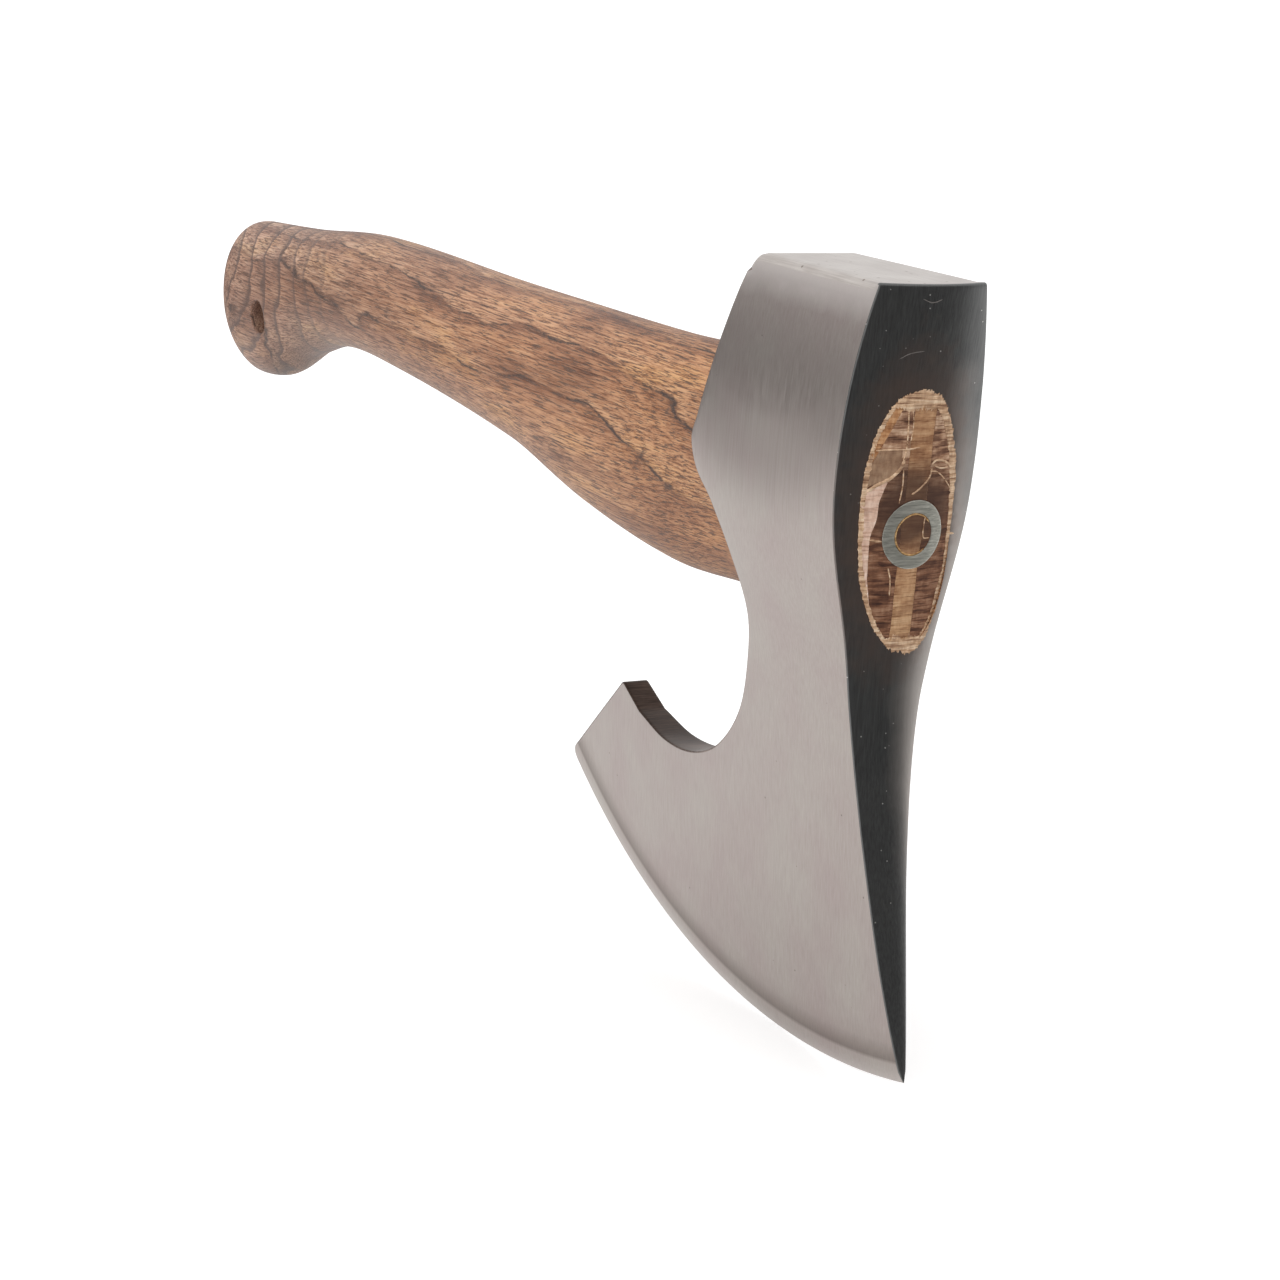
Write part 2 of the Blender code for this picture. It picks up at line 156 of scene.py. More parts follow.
def setStage():
    scene = bpy.context.scene
    scene.view_settings.view_transform = "Standard"
    half = stage["floorSize"] / 2
    mesh = bpy.data.meshes.new("floor")
    corners = [(-half, -half, 0), (half, -half, 0), (half, half, 0), (-half, half, 0)]
    mesh.from_pydata(corners, [], [(0, 1, 2, 3)])
    floor = bpy.data.objects.new("floor", mesh)
    floor.location.z = headLow.z - 0.2 * mm
    scene.collection.objects.link(floor)
    material, tree, shader, place = newMaterial("mattePaper", 0.9)
    shader.inputs["Base Color"].default_value = toLinear(stage["floorColour"])
    shader.inputs["Specular IOR Level"].default_value = 0.1
    shader.inputs["Emission Color"].default_value = toLinear("#ffffff")
    shader.inputs["Emission Strength"].default_value = stage["floorGlow"]
    mesh.materials.append(material)
    floor.visible_diffuse = False
    world = bpy.data.worlds.new("softStudio")
    world.use_nodes = True
    background = world.node_tree.nodes["Background"]
    background.inputs["Color"].default_value = toLinear(stage["worldColour"])
    background.inputs["Strength"].default_value = stage["worldStrength"]
    scene.world = world
    target = Vector(stage["lightTarget"])
    for name, lightPlace, size, power in stage["lights"]:
        light = bpy.data.lights.new(name, "AREA")
        light.size = size
        light.energy = power
        lamp = bpy.data.objects.new(name, light)
        lamp.location = lightPlace
        lamp.rotation_euler = (target - Vector(lightPlace)).to_track_quat("-Z", "Y").to_euler()
        lamp.visible_glossy = False
        scene.collection.objects.link(lamp)
    for card in stage["cards"]:
        addCard(*card)
    lens = bpy.data.cameras.new("camera")
    lens.lens = stage["lens"]
    lens.clip_start = 0.01
    camera = bpy.data.objects.new("camera", lens)
    axes = Matrix([stage["cameraRight"], stage["cameraUp"], stage["cameraBack"]]).transposed()
    camera.matrix_world = Matrix.Translation(stage["cameraPlace"]) @ axes.to_4x4()
    scene.collection.objects.link(camera)
    scene.camera = camera
    print("stage set")


setStage()


# Lines and curves
def smoothValue(knots, at):
    # the value at one place of a smooth curve through (place, value) knots
    if at <= knots[0][0]:
        return knots[0][1]
    if at >= knots[-1][0]:
        return knots[-1][1]
    i = max(k for k in range(len(knots) - 1) if knots[k][0] <= at)
    slopes = []
    for k in (i, i + 1):
        before = knots[max(k - 1, 0)]
        after = knots[min(k + 1, len(knots) - 1)]
        slopes.append((after[1] - before[1]) / (after[0] - before[0]))
    (x0, y0), (x1, y1) = knots[i], knots[i + 1]
    width = x1 - x0
    u = (at - x0) / width
    v = 1 - u
    bend = width * u * v * (slopes[0] * v - slopes[1] * u)
    return y0 * v * v * (1 + 2 * u) + y1 * u * u * (1 + 2 * v) + bend


def smoothLine(points, steps):
    far = [0.0]
    for a, b in zip(points, points[1:]):
        far.append(far[-1] + math.dist(a, b))
    line = []
    for i in range(len(points) - 1):
        for k in range(steps):
            at = far[i] + (far[i + 1] - far[i]) * k / steps
            line.append(tuple(smoothValue(list(zip(far, axis)), at) for axis in zip(*points)))
    return line


def throughMillimetres(points, steps, up=0.0):
    # a smooth curve through (y, z) points in mm, from the first to the last
    points = [(y * mm, up + z * mm) for y, z in points]
    return smoothLine(points, steps) + [points[-1]]


def roundedCorner(before, corner, after, radius, steps):
    start, end = (
        [c + (o - c) * radius / math.dist(corner, other) for c, o in zip(corner, other)]
        for other in (before, after)
    )
    return [bezier(start, corner, end, k / steps) for k in range(steps + 1)]


def bezier(a, b, c, u):
    return tuple((1 - u) ** 2 * p + 2 * u * (1 - u) * q + u * u * r for p, q, r in zip(a, b, c))


def spacedOut(line, spacing):
    # the same line with long stretches divided
    out = []
    for a, b in zip(line, line[1:]):
        parts = max(1, round(math.dist(a, b) / spacing))
        out += [tuple(p + (q - p) * k / parts for p, q in zip(a, b)) for k in range(parts)]
    return out


def insideLoop(loop, points):
    # which points lie inside a closed loop
    found = np.zeros(len(points), bool)
    for (x0, y0), (x1, y1) in zip(loop, loop[1:] + loop[:1]):
        if y0 == y1:
            continue
        crosses = (points[:, 1] < y0) != (points[:, 1] < y1)
        found ^= crosses & (points[:, 0] < x0 + (points[:, 1] - y0) * (x1 - x0) / (y1 - y0))
    return found


def awayFrom(points, others, margin):
    # which points keep this distance from all the others
    keep = np.ones(len(points), bool)
    others = np.array(others)
    for start in range(0, len(points), 2000):
        part = points[start:start + 2000]
        gaps = np.linalg.norm(part[:, None] - others[None], axis=2).min(axis=1)
        keep[start:start + 2000] = gaps > margin
    return keep


def gridIn(loop, holes, spacing, extra=()):
    # a triangular grid inside a loop and outside its holes
    low, high = np.min(loop, axis=0), np.max(loop, axis=0)
    rowStep = spacing * 0.866
    rows = []
    for j in range(int((high[1] - low[1]) / rowStep) + 1):
        xs = np.arange(low[0] + (j % 2) * spacing / 2, high[0], spacing)
        rows.append(np.column_stack([xs, np.full(len(xs), low[1] + j * rowStep)]))
    grid = np.concatenate(rows)
    if len(extra):
        extra = np.array(extra)
        extra = extra[insideLoop(loop, extra) & awayFrom(extra, loop, spacing * 0.3)]
        grid = grid[awayFrom(grid, extra, spacing * 0.6)]
    keep = insideLoop(loop, grid) & awayFrom(grid, loop, spacing * 0.55)
    for hole in holes:
        keep &= ~insideLoop(hole, grid) & awayFrom(grid, hole, spacing * 0.55)
    grid = grid[keep]
    return [tuple(p) for p in grid] + [tuple(p) for p in extra]


def fillLoop(loop, holes, inner):
    # triangles over a loop less its holes, on the loop's points, then the holes', then the inner ones
    flat = [p for part in (loop, *holes, inner) for p in part]
    edges = []
    start = len(loop)
    for hole in holes:
        edges += [(start + k, start + (k + 1) % len(hole)) for k in range(len(hole))]
        start += len(hole)
    scaled = [(x / mm, y / mm) for x, y in flat]
    made, _, triangles, origins, *_ = delaunay_2d_cdt(scaled, edges, [list(range(len(loop)))], 1, 1e-5)
    back = [origin[0] if origin else -1 for origin in origins]
    triangles = [tuple(back[k] for k in t) for t in triangles]
    triangles = [t for t in triangles if min(t) >= 0]
    for hole in holes:
        middles = np.array([np.mean([flat[k] for k in t], axis=0) for t in triangles])
        triangles = [t for t, isIn in zip(triangles, insideLoop(hole, middles)) if not isIn]
    return flat, triangles


class Skin:
    # points and faces that are gathered patch by patch, then joined into one mesh
    def __init__(self):
        self.points = []
        self.faces = []
        self.zones = []

    def add(self, points):
        start = len(self.points)
        self.points += [tuple(p) for p in points]
        return list(range(start, len(self.points)))

    def face(self, corners, zone=0):
        self.faces.append(tuple(corners))
        self.zones.append(zone)

    def bridge(self, a, b, zone=0, closed=True):
        count = len(a)
        for k in range(count if closed else count - 1):
            n = (k + 1) % count
            self.face((a[k], a[n], b[n], b[k]), zone)

    def tube(self, rows, zone=0, ends="capped"):
        # rows of points joined one to the next, and the ends capped, open or joined to each other
        loops = [self.add(row) for row in rows]
        for a, b in zip(loops, loops[1:] + (loops[:1] if ends == "joined" else [])):
            self.bridge(a, b, zone)
        if ends == "capped":
            self.face(loops[0], zone)
            self.face(loops[-1], zone)
        return loops

    def build(self, name, sharpAbove=35, merge=2e-6, materials=()):
        mesh = bpy.data.meshes.new(name)
        for material in materials:
            mesh.materials.append(material)
        form = bmesh.new()
        corners = [form.verts.new(p) for p in self.points]
        for face, zone in zip(self.faces, self.zones):
            if len(set(face)) == len(face):
                made = form.faces.new([corners[k] for k in face])
                made.material_index = min(zone, max(len(materials) - 1, 0))
        bmesh.ops.remove_doubles(form, verts=form.verts, dist=merge)
        bmesh.ops.delete(form, geom=[v for v in form.verts if not v.link_faces], context="VERTS")
        bmesh.ops.recalc_face_normals(form, faces=form.faces)
        form.to_mesh(mesh)
        form.free()
        mesh.shade_smooth()
        mesh.set_sharp_from_angle(angle=math.radians(sharpAbove))
        made = bpy.data.objects.new(name, mesh)
        bpy.context.scene.collection.objects.link(made)
        return made


def cutWith(target, steps):
    # runs Booleans on a piece, and removes what it was cut with
    for tool, operation in steps:
        step = target.modifiers.new(operation, "BOOLEAN")
        step.operation = operation
        step.solver = "MANIFOLD"
        step.object = tool
    graph = bpy.context.evaluated_depsgraph_get()
    wanted = list(target.data.materials)
    mesh = bpy.data.meshes.new_from_object(target.evaluated_get(graph))
    target.modifiers.clear()
    # cut faces come back without a material, so every face is given its own again
    found = list(mesh.materials)
    indices = []
    for face in mesh.polygons:
        material = found[face.material_index] if face.material_index < len(found) else None
        indices.append(wanted.index(material) if material in wanted else 0)
    mesh.materials.clear()
    for material in wanted:
        mesh.materials.append(material)
    mesh.polygons.foreach_set("material_index", indices)
    target.data = mesh
    for tool in {tool for tool, operation in steps}:
        bpy.data.objects.remove(tool, do_unlink=True)
    return target


def settle(piece, nodes):
    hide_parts(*nodes)
    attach(piece, "root")
    print(piece.name, "made of", len(piece.data.polygons), "faces")


# The forged head
head = {
    "edgeRadius": 168 * mm,
    "bellyBehindToe": 43.7 * mm,
    "edgeLand": 0.2 * mm,
    "bevelHeight": 2.2 * mm,
    "bevelThickness": 1.7 * mm,
    "bladeRoot": 18.8 * mm,
    "beardThinning": 0.28,
    "pollNarrowing": 0.24,
    "shoulderDrop": 32.5 * mm,
    "crown": 3 * mm,
    "endHollow": 4.6 * mm,
    "toeForward": 16.7 * mm,
    "pollLength": 43.8 * mm,
    "lugReach": 15.6 * mm,
    "beardReach": 56.3 * mm,
    "neckForward": 3.7 * mm,
    "cornerRound": 3 * mm,
    "waviness": 0.03 * mm,  # the grinder's hand
    "gridStep": 1.5 * mm,
    "across": 14,
    # two light arcs that something hard has scratched near the poll, as (y, z) in mm
    "scratches": [
        [(-3.3, -2.6), (-1.2, -3.2), (0.9, -2.5)],
        [(-6.2, -13.3), (-4.2, -12.3), (-1.0, -11.8)],
    ],
    # how far each stretch of the outline rounds over to the cheeks
    "rounding": {
        "end": 0.32 * mm, "edge": 0.04 * mm, "back": 0.35 * mm, "notch": 0.35 * mm, "poll": 1.5 * mm,
    },
}
eye = {
    "width": 19.6 * mm,
    "height": 47.6 * mm,
    "drop": 43.2 * mm,  # from the poll to its middle
    "lean": 0.06,  # sideways for each unit down
    "draft": 0.6 * mm,  # tighter by this at the handle's side
    "gap": 0.3 * mm,  # round the tongue, out of sight
    "seat": 0.03 * mm,  # what shows between the wood and the steel
    "rim": 0.15 * mm,
    "points": 120,
}
headHeight = headHigh.z - headLow.z
bladeReach = headHigh.x - headLow.x
headHalf = eye["width"] / 2 + 5 * mm
pollHalf = head["pollLength"] / 2
waistX = pollHalf - head["endHollow"]
endX = waistX + head["crown"]
toeX = waistX + head["toeForward"]
lugX = -pollHalf - head["lugReach"]
axisZ = -eye["drop"]
edgeCentre = (toeX - head["bellyBehindToe"], head["edgeRadius"] - headHeight)


def edgeDistance(x, z):
    return head["edgeRadius"] - math.hypot(x - edgeCentre[0], z - edgeCentre[1])


def edgeZ(x):
    return edgeCentre[1] - math.sqrt(head["edgeRadius"] ** 2 - (x - edgeCentre[0]) ** 2)


rootDistance = edgeDistance(waistX, axisZ - eye["height"] / 2)
bladeProfile = [
    (0, head["edgeLand"] / 2),
    (head["bevelHeight"], head["bevelThickness"] / 2),
    (0.24 * rootDistance, 0.3 * head["bladeRoot"] / 2),
    (0.54 * rootDistance, 0.52 * head["bladeRoot"] / 2),
    (0.82 * rootDistance, 0.76 * head["bladeRoot"] / 2),
    (rootDistance, head["bladeRoot"] / 2),
    (edgeDistance(waistX, axisZ), 0.965 * headHalf),
    (edgeDistance(waistX, axisZ + eye["height"] / 2), headHalf),
]


def halfThickness(x, z):
    away = max(edgeDistance(x, z), 0)
    if away < head["bevelHeight"]:
        half = smoothValue([(0, bladeProfile[0][1]), bladeProfile[1]], away)
    else:
        half = smoothValue(bladeProfile, away)
    back = max(endX - x, 0) / (endX + pollHalf + head["beardReach"])
    above = max(1 + z / head["shoulderDrop"], 0)
    half *= (1 - head["beardThinning"] * back**2) * (1 - head["pollNarrowing"] * above**2)
    wave = noise.noise((x * 55, 3.7, z * 38)) + 0.5 * noise.noise((x * 140, 8.1, z * 90))
    return half + head["waviness"] * wave * min(1, away / (20 * mm))


def endEdgeX(z):
    share = -z / headHeight
    toeShare = -edgeZ(toeX) / headHeight
    pollPart = max(1 - share / 0.36, 0) ** 2
    toePart = (max(share - 0.5, 0) / (toeShare - 0.5)) ** 1.5
    return waistX + head["endHollow"] * pollPart + head["toeForward"] * toePart


def endFaceX(y, z):
    half = halfThickness(endEdgeX(z), z)
    return endEdgeX(z) + head["crown"] * half / headHalf * (1 - (y / half) ** 2)


def headOutline():
    # the side view as (x, z, stretch) points: down the end face, along the edge, and back over the beard
    toe = (toeX, edgeZ(toeX))
    front = [(endEdgeX(toe[1] * k / 150), toe[1] * k / 150) for k in range(151)]
    topCorner = roundedCorner((0, 0), front[0], front[2], 0.8 * mm, 4)
    heelX = toeX - bladeReach
    edge = [(toeX - bladeReach * k / 150, edgeZ(toeX - bladeReach * k / 150)) for k in range(151)]
    point = (-pollHalf - head["beardReach"], -0.651 * headHeight)
    neck = -pollHalf + head["neckForward"]
    reach, lug, height = head["beardReach"], head["lugReach"], eye["height"]
    notch = [(-pollHalf - a * reach, -b * headHeight) for a, b in
             ((0.85, 0.679), (0.63, 0.696), (0.41, 0.69), (0.21, 0.659), (0.04, 0.594))]
    notch.append((-pollHalf + 0.6 * head["neckForward"], -0.515 * headHeight))
    notch.append((neck, axisZ - 0.52 * height))
    notch += [(-pollHalf - a * lug, axisZ + b * height) for a, b in
              ((0.03, -0.3), (0.44, -0.12), (0.85, -0.01), (1, 0.11), (0.87, 0.21))]
    notch += [(-pollHalf - a * lug, -b * headHeight) for a, b in ((0.47, 0.115), (0.21, 0.047))]
    heel = roundedCorner(edge[-3], (heelX, edgeZ(heelX)), point, head["cornerRound"], 8)
    beardPoint = roundedCorner(heel[-1], point, notch[0], head["cornerRound"] / 3, 6)
    pollCorner = roundedCorner(notch[-1], (-pollHalf, 0), (0, 0), head["cornerRound"], 8)
    stretches = [
        ("end", topCorner + front[2:]),
        ("edge", [p for p in edge if p[0] > heel[0][0] + 0.5 * mm]),
        ("back", heel + beardPoint[:1]),
        ("notch", beardPoint + smoothLine(notch, 9) + [notch[-1]]),
        ("poll", pollCorner + [topCorner[0]]),
    ]
    outline = []
    for k, (stretch, line) in enumerate(stretches):
        following = stretches[(k + 1) % len(stretches)][1][0]
        if math.dist(line[-1], following) > 1e-7:
            line = line + [following]
        outline += [(x, z, stretch) for x, z in spacedOut(line, 1.1 * mm)]
    return outline


def oval(halfWidth, halfHeight, angle):
    # a little fuller than an ellipse
    side, up = math.cos(angle), math.sin(angle)
    return (
        halfWidth * math.copysign(abs(side) ** 0.92, side),
        halfHeight * math.copysign(abs(up) ** 0.92, up),
    )


def eyeLoop(x, more, count=None):
    # the eye's outline as (y, z), this much larger all round
    closed = eye["draft"] * (endX - x) / (endX - lugX)
    halfWidth = eye["width"] / 2 - closed + more
    halfHeight = eye["height"] / 2 - closed + more
    count = count or eye["points"]
    ring = [oval(halfWidth, halfHeight, 2 * math.pi * k / count) for k in range(count)]
    return [(y - eye["lean"] * z, axisZ + z) for y, z in ring]


def makeHead(materials):
    outline = headOutline()
    count = len(outline)
    skin = Skin()
    across = head["across"]
    columns = []
    insets = []
    for i, (x, z, stretch) in enumerate(outline):
        before, after = outline[i - 1], outline[(i + 1) % count]
        here = (x, z)
        runs = []
        for a, b in ((before, here), (here, after)):
            runs.append(Vector((b[0] - a[0], b[1] - a[1])).normalized())
        run = (runs[0] + runs[1]).normalized()
        half = halfThickness(x, z)
        radius = min(head["rounding"][stretch], 0.45 * half)
        inset = (x + run.y * radius, z - run.x * radius)
        insets.append(inset)
        insetHalf = halfThickness(*inset)
        swollen = {"end": 1, "poll": max(x / pollHalf, 0) ** 2}.get(stretch, 0)
        swell = head["crown"] * half / headHalf * swollen
        flank = half - radius
        start = (inset[0], insetHalf, inset[1])
        end = (x + swell * (1 - (flank / half) ** 2), flank, z)
        arc = [bezier(start, (x, half, z), end, k / 3) for k in range(4)]
        acrossWall = [flank * (1 - 2 * k / across) for k in range(1, across)]
        wall = [(x + swell * (1 - (y / half) ** 2), y, z) for y in acrossWall]
        mirrored = [(a, -b, c) for a, b, c in reversed(arc)]
        columns.append(skin.add(arc + wall + mirrored))
    # the wall round the outline, left open where the eye comes through
    zoneOf = {"end": 1, "edge": 0, "back": 2, "notch": 2, "poll": 3}
    beside = eye["height"] / 2 + 3 * mm
    endEye = [i for i, (x, z, s) in enumerate(outline) if s == "end" and abs(z - axisZ) < beside]
    backEye = [i for i, (x, z, s) in enumerate(outline)
               if s == "notch" and x > lugX - mm and abs(z - axisZ) < beside]
    openBetween = set(endEye[:-1]) | set(backEye[:-1])
    for i in range(count):
        a, b = columns[i], columns[(i + 1) % count]
        for k in range(len(a) - 1):
            if i not in openBetween or k < 3 or k >= len(a) - 4:
                skin.face((a[k], a[k + 1], b[k + 1], b[k]), zoneOf[outline[i][2]])
    # the two cheeks, with rows of points along the bevel
    bevelRows = []
    for share in (0.5, 1, 1.6):
        radius = head["edgeRadius"] - share * head["bevelHeight"]
        for k in range(141):
            x = toeX - bladeReach * k / 140
            bevelRows.append((x, edgeCentre[1] - math.sqrt(radius**2 - (x - edgeCentre[0]) ** 2)))
    inner = gridIn(insets, [], head["gridStep"], bevelRows)
    flat, triangles = fillLoop(insets, [], inner)
    for side in (1, -1):
        corners = skin.add([(x, side * halfThickness(x, z), z) for x, z in flat])
        for t in triangles:
            skin.face([corners[k] for k in t], 0)
    addEyeWall(skin, columns, endEye, endFaceX, 1, -1)
    backZ, backX = np.array(sorted((outline[i][1], outline[i][0]) for i in backEye)).T
    addEyeWall(skin, columns, backEye, lambda y, z: float(np.interp(z, backZ, backX)), 2, 1)
    for line in head["scratches"]:
        addRidge(skin, throughMillimetres(line, 6)[:-1], 0.3 * mm, 3, 0.02 * mm)
    return skin.build("hatchetHead", materials=materials)


def addEyeWall(skin, columns, indices, surface, zone, inwards):
    # the stretch of wall that the eye opens in, its rounded rim, and half of the tunnel behind it
    first, last = columns[indices[0]], columns[indices[-1]]
    a, b = 3, len(first) - 4
    loopCorners = [columns[i][a] for i in indices] + last[a + 1:b]
    loopCorners += [columns[i][b] for i in reversed(indices)] + list(reversed(first[a + 1:b]))
    loop = [(skin.points[k][1], skin.points[k][2]) for k in loopCorners]
    ringX = endX if zone == 1 else 0.5 * (lugX - pollHalf)
    rim = eye["rim"]
    rings = []
    for share in (1, 0.6, 0.3, 0.1, 0):
        sunk = rim * (1 - math.sqrt(1 - (1 - share) ** 2))
        ring = eyeLoop(ringX, rim * share)
        rings.append(skin.add([(surface(y, z) + inwards * sunk, y, z) for y, z in ring]))
    for outer, nearer in zip(rings, rings[1:]):
        skin.bridge(outer, nearer, zone)
    hole = eyeLoop(ringX, rim)
    inner = gridIn(loop, [hole], head["gridStep"])
    flat, triangles = fillLoop(loop, [hole], inner)
    known = loopCorners + rings[0]
    known += skin.add([(surface(y, z), y, z) for y, z in flat[len(known):]])
    for t in triangles:
        skin.face([known[k] for k in t], zone)
    middle = skin.add([(0, y, z) for y, z in eyeLoop(0, 0)])
    skin.bridge(rings[-1], middle, 2)


# Steel and its finishes
mixColours = {"data_type": "RGBA"}
multiply = {"operation": "MULTIPLY"}
multiplyAdd = {"operation": "MULTIPLY_ADD"}


def grain(tree, place, lengths, detail=3, rough=0.6):
    # a pattern whose features have these lengths along X, Y and Z
    scaled = addNode(tree, "Mapping", inputs={"Vector": place, "Scale": [1 / v for v in lengths]})
    return addNode(tree, "TexNoise", inputs={
        "Vector": scaled, "Scale": 1, "Detail": detail, "Roughness": rough})


def shade(tree, colour, value, stops, share=1.0):
    # darkens a colour by the tones that a value picks
    tone = addNode(tree, "ValToRGB", {"stops": stops}, {0: value})
    settings = {"data_type": "RGBA", "blend_type": "MULTIPLY"}
    return addNode(tree, "Mix", settings, {0: share, 6: colour, 7: tone}).outputs[2]


def groundSteel(name, look):
    # forged carbon steel, belt ground: a satin sheen drawn out into fine lines along the belt's run.
    # The grit leaves lines about 0.1 mm apart, so the pitch is drawn some three times coarser to show
    material, tree, shader, place = newMaterial(name, look["roughness"], 1.0)
    lengths = [look["pitch"]] * 3
    lengths[look["along"]] = look["lineLength"]
    lines = grain(tree, place, lengths, 3, 0.7)
    blotches = addNode(tree, "TexNoise", inputs={
        "Vector": place, "Scale": 1 / look["blotch"], "Detail": 4})
    tones = [(0.3, look["dark"]), (0.7, look["light"])]
    colour = addNode(tree, "ValToRGB", {"stops": tones}, {0: blotches})
    colour = shade(tree, colour, lines, [(0.28, look["lineDark"]), (0.72, "#ffffff")], look["lineShare"])
    # small pits, some with oil in them
    pits = addNode(tree, "TexVoronoi", inputs={
        "Vector": place, "Scale": 1 / look["pitSpacing"], "Randomness": 1}).outputs["Distance"]
    size = look["pitSize"] / look["pitSpacing"]
    pitMask = addNode(tree, "ValToRGB", {"stops": [(0.6 * size, 0.0), (size, 1.0)]}, {0: pits})
    colour = addNode(tree, "Mix", mixColours, {0: pitMask, 6: look["pit"], 7: colour}).outputs[2]
    if look.get("fadeStops"):
        # darker towards one end, with a ragged border
        x = addNode(tree, "SeparateXYZ", inputs={0: place}).outputs["X"]
        cloud = addNode(tree, "TexNoise", inputs={"Vector": place, "Scale": 150, "Detail": 4})
        shifted = addNode(tree, "Math", multiplyAdd, {0: cloud, 1: look["fadeBorder"], 2: x})
        ends = [look[end] + look["fadeBorder"] / 2 for end in ("fadeFrom", "fadeTo")]
        along = addNode(tree, "MapRange", inputs={0: shifted, 1: ends[0], 2: ends[1], 3: 0.0, 4: 1.0})
        colour = shade(tree, colour, along, look["fadeStops"])
    if look.get("edgeShadeBand"):
        # the strip that was honed along the cutting edge, and above it a dark line of painted shade for
        # the soft hollow
        flat = addNode(tree, "Mapping", inputs={
            "Vector": place, "Location": (-edgeCentre[0], 0, -edgeCentre[1]), "Scale": (1, 0, 1)})
        away = addNode(tree, "VectorMath", {"operation": "LENGTH"}, {0: flat}).outputs["Value"]
        near = addNode(tree, "MapRange", inputs={
            0: away, 1: head["edgeRadius"] - look["edgeShadeBand"], 2: head["edgeRadius"], 3: 0.0, 4: 1.0})
        colour = shade(tree, colour, near, look["edgeShadeStops"])
    # real stains, and patches of painted highlight and painted reflection
    for patchLook in look.get("stainsAndSheens", []):
        colour = stainAndSheen(tree, place, colour, patchLook)
    tree.links.new(colour, shader.inputs["Base Color"])
    rough = addNode(tree, "MapRange", inputs={
        0: lines, 3: look["roughness"] - 0.07, 4: look["roughness"] + 0.1})
    tree.links.new(rough.outputs[0], shader.inputs["Roughness"])
    bump = addNode(tree, "Bump", inputs={
        "Strength": look["bump"], "Distance": 0.03 * mm, "Height": lines})
    fine = addNode(tree, "Bump", inputs={
        "Strength": 0.4, "Distance": 0.1 * mm, "Height": pitMask, "Normal": bump})
    tree.links.new(fine.outputs[0], shader.inputs["Normal"])
    return material


def stainAndSheen(tree, place, colour, look):
    # a soft-edged patch of another colour, round a place of the end face: real stains, and painted
    # highlights and reflections
    moved = addNode(tree, "Mapping", inputs={
        "Vector": place,
        "Location": (0, -look["aside"] / look["width"], look["drop"] / look["height"]),
        "Scale": (0, 1 / look["width"], 1 / look["height"]),
    })
    away = addNode(tree, "VectorMath", {"operation": "LENGTH"}, {0: moved}).outputs["Value"]
    cloud = addNode(tree, "TexNoise", inputs={"Vector": place, "Scale": look["cloud"], "Detail": 4})
    ragged = addNode(tree, "Math", multiplyAdd, {0: cloud, 1: 0.6, 2: away})
    half = addNode(tree, "Math", multiply, {0: ragged, 1: 0.5})
    full = look["share"]
    mask = addNode(tree, "ValToRGB", {"stops": [(0.0, full), (0.5, full), (0.8, 0.0)]}, {0: half})
    return addNode(tree, "Mix", mixColours, {0: mask, 6: colour, 7: look["colour"]}).outputs[2]


# the cheeks: carbon steel off a fine belt, a soft warm grey with faint upright lines
cheekSteel = groundSteel("satinSteelCheek", {
    "roughness": 0.36, "pitch": 0.32 * mm, "lineLength": 16 * mm, "along": 2, "blotch": 14 * mm,
    "dark": "#aaa09d", "light": "#aea8a3", "lineDark": "#b4adaa", "lineShare": 0.35,
    "pitSpacing": 7 * mm, "pitSize": 0.25 * mm, "pit": "#77706c", "bump": 0.3,
    # painted shade: the dark stops draw the hollow's shade 4 to 5 mm in from the cutting edge
    "edgeShadeBand": 10 * mm,
    "edgeShadeStops": [(0.0, "#f8f6f5"), (0.25, "#f0edeb"), (0.5, "#cec9c6"),
                  (0.6, "#beb8b5"), (0.67, "#f4f2f0"), (1.0, "#ffffff")],
    # painted highlight: a lighter band along the top of the cheek, by the edge of the poll
    "stainsAndSheens": [{"aside": 0, "drop": -1 * mm, "width": 60 * mm, "height": 7 * mm,
                "colour": "#d0c9c6", "share": 0.5, "cloud": 160}],
})
# the end face: oiled steel with light specks, its near black a painted reflection of dark surroundings,
# a painted reflection lighter on one side, and stained brown round the eye
endSteel = groundSteel("oiledSteelEnd", {
    "roughness": 0.33, "pitch": 0.3 * mm, "lineLength": 12 * mm, "along": 2, "blotch": 25 * mm,
    # painted reflection: these dark tones stand in for the dark surroundings that the end face reflects
    "dark": "#6a6b6b", "light": "#767675", "lineDark": "#8f8d8c", "lineShare": 0.5,
    "pitSpacing": 2.2 * mm, "pitSize": 0.16 * mm, "pit": "#d7d5d0", "bump": 0.4,
    "stainsAndSheens": [
        # painted reflection: lighter right of and below the eye, where the face rounds over towards the
        # bright room
        {"aside": 9 * mm, "drop": 72 * mm, "width": 7.5 * mm, "height": 46 * mm,
         "colour": "#a59e99", "share": 0.78, "cloud": 90},
        {"aside": -1.5 * mm, "drop": -axisZ - 2 * mm, "width": 11.5 * mm, "height": 27 * mm,
         "colour": "#86736a", "share": 0.8, "cloud": 300},
    ],
})
# the back and the notch: coarse saw and file marks, darker and browner towards the beard
notchSteel = groundSteel("sawnSteelNotch", {
    "roughness": 0.45, "pitch": 0.45 * mm, "lineLength": 7 * mm, "along": 1, "blotch": 9 * mm,
    "dark": "#cfc6c1", "light": "#f0eae6", "lineDark": "#7a716c", "lineShare": 0.9,
    "pitSpacing": 3 * mm, "pitSize": 0.3 * mm, "pit": "#5f5652", "bump": 0.6,
    "fadeFrom": -78 * mm, "fadeTo": -30 * mm, "fadeBorder": 14 * mm,
    "fadeStops": [(0.0, "#66574f"), (0.4, "#5c4e48"), (0.62, "#8f837d"),
                  (0.8, "#b8aea9"), (1.0, "#c4bbb6")],
})
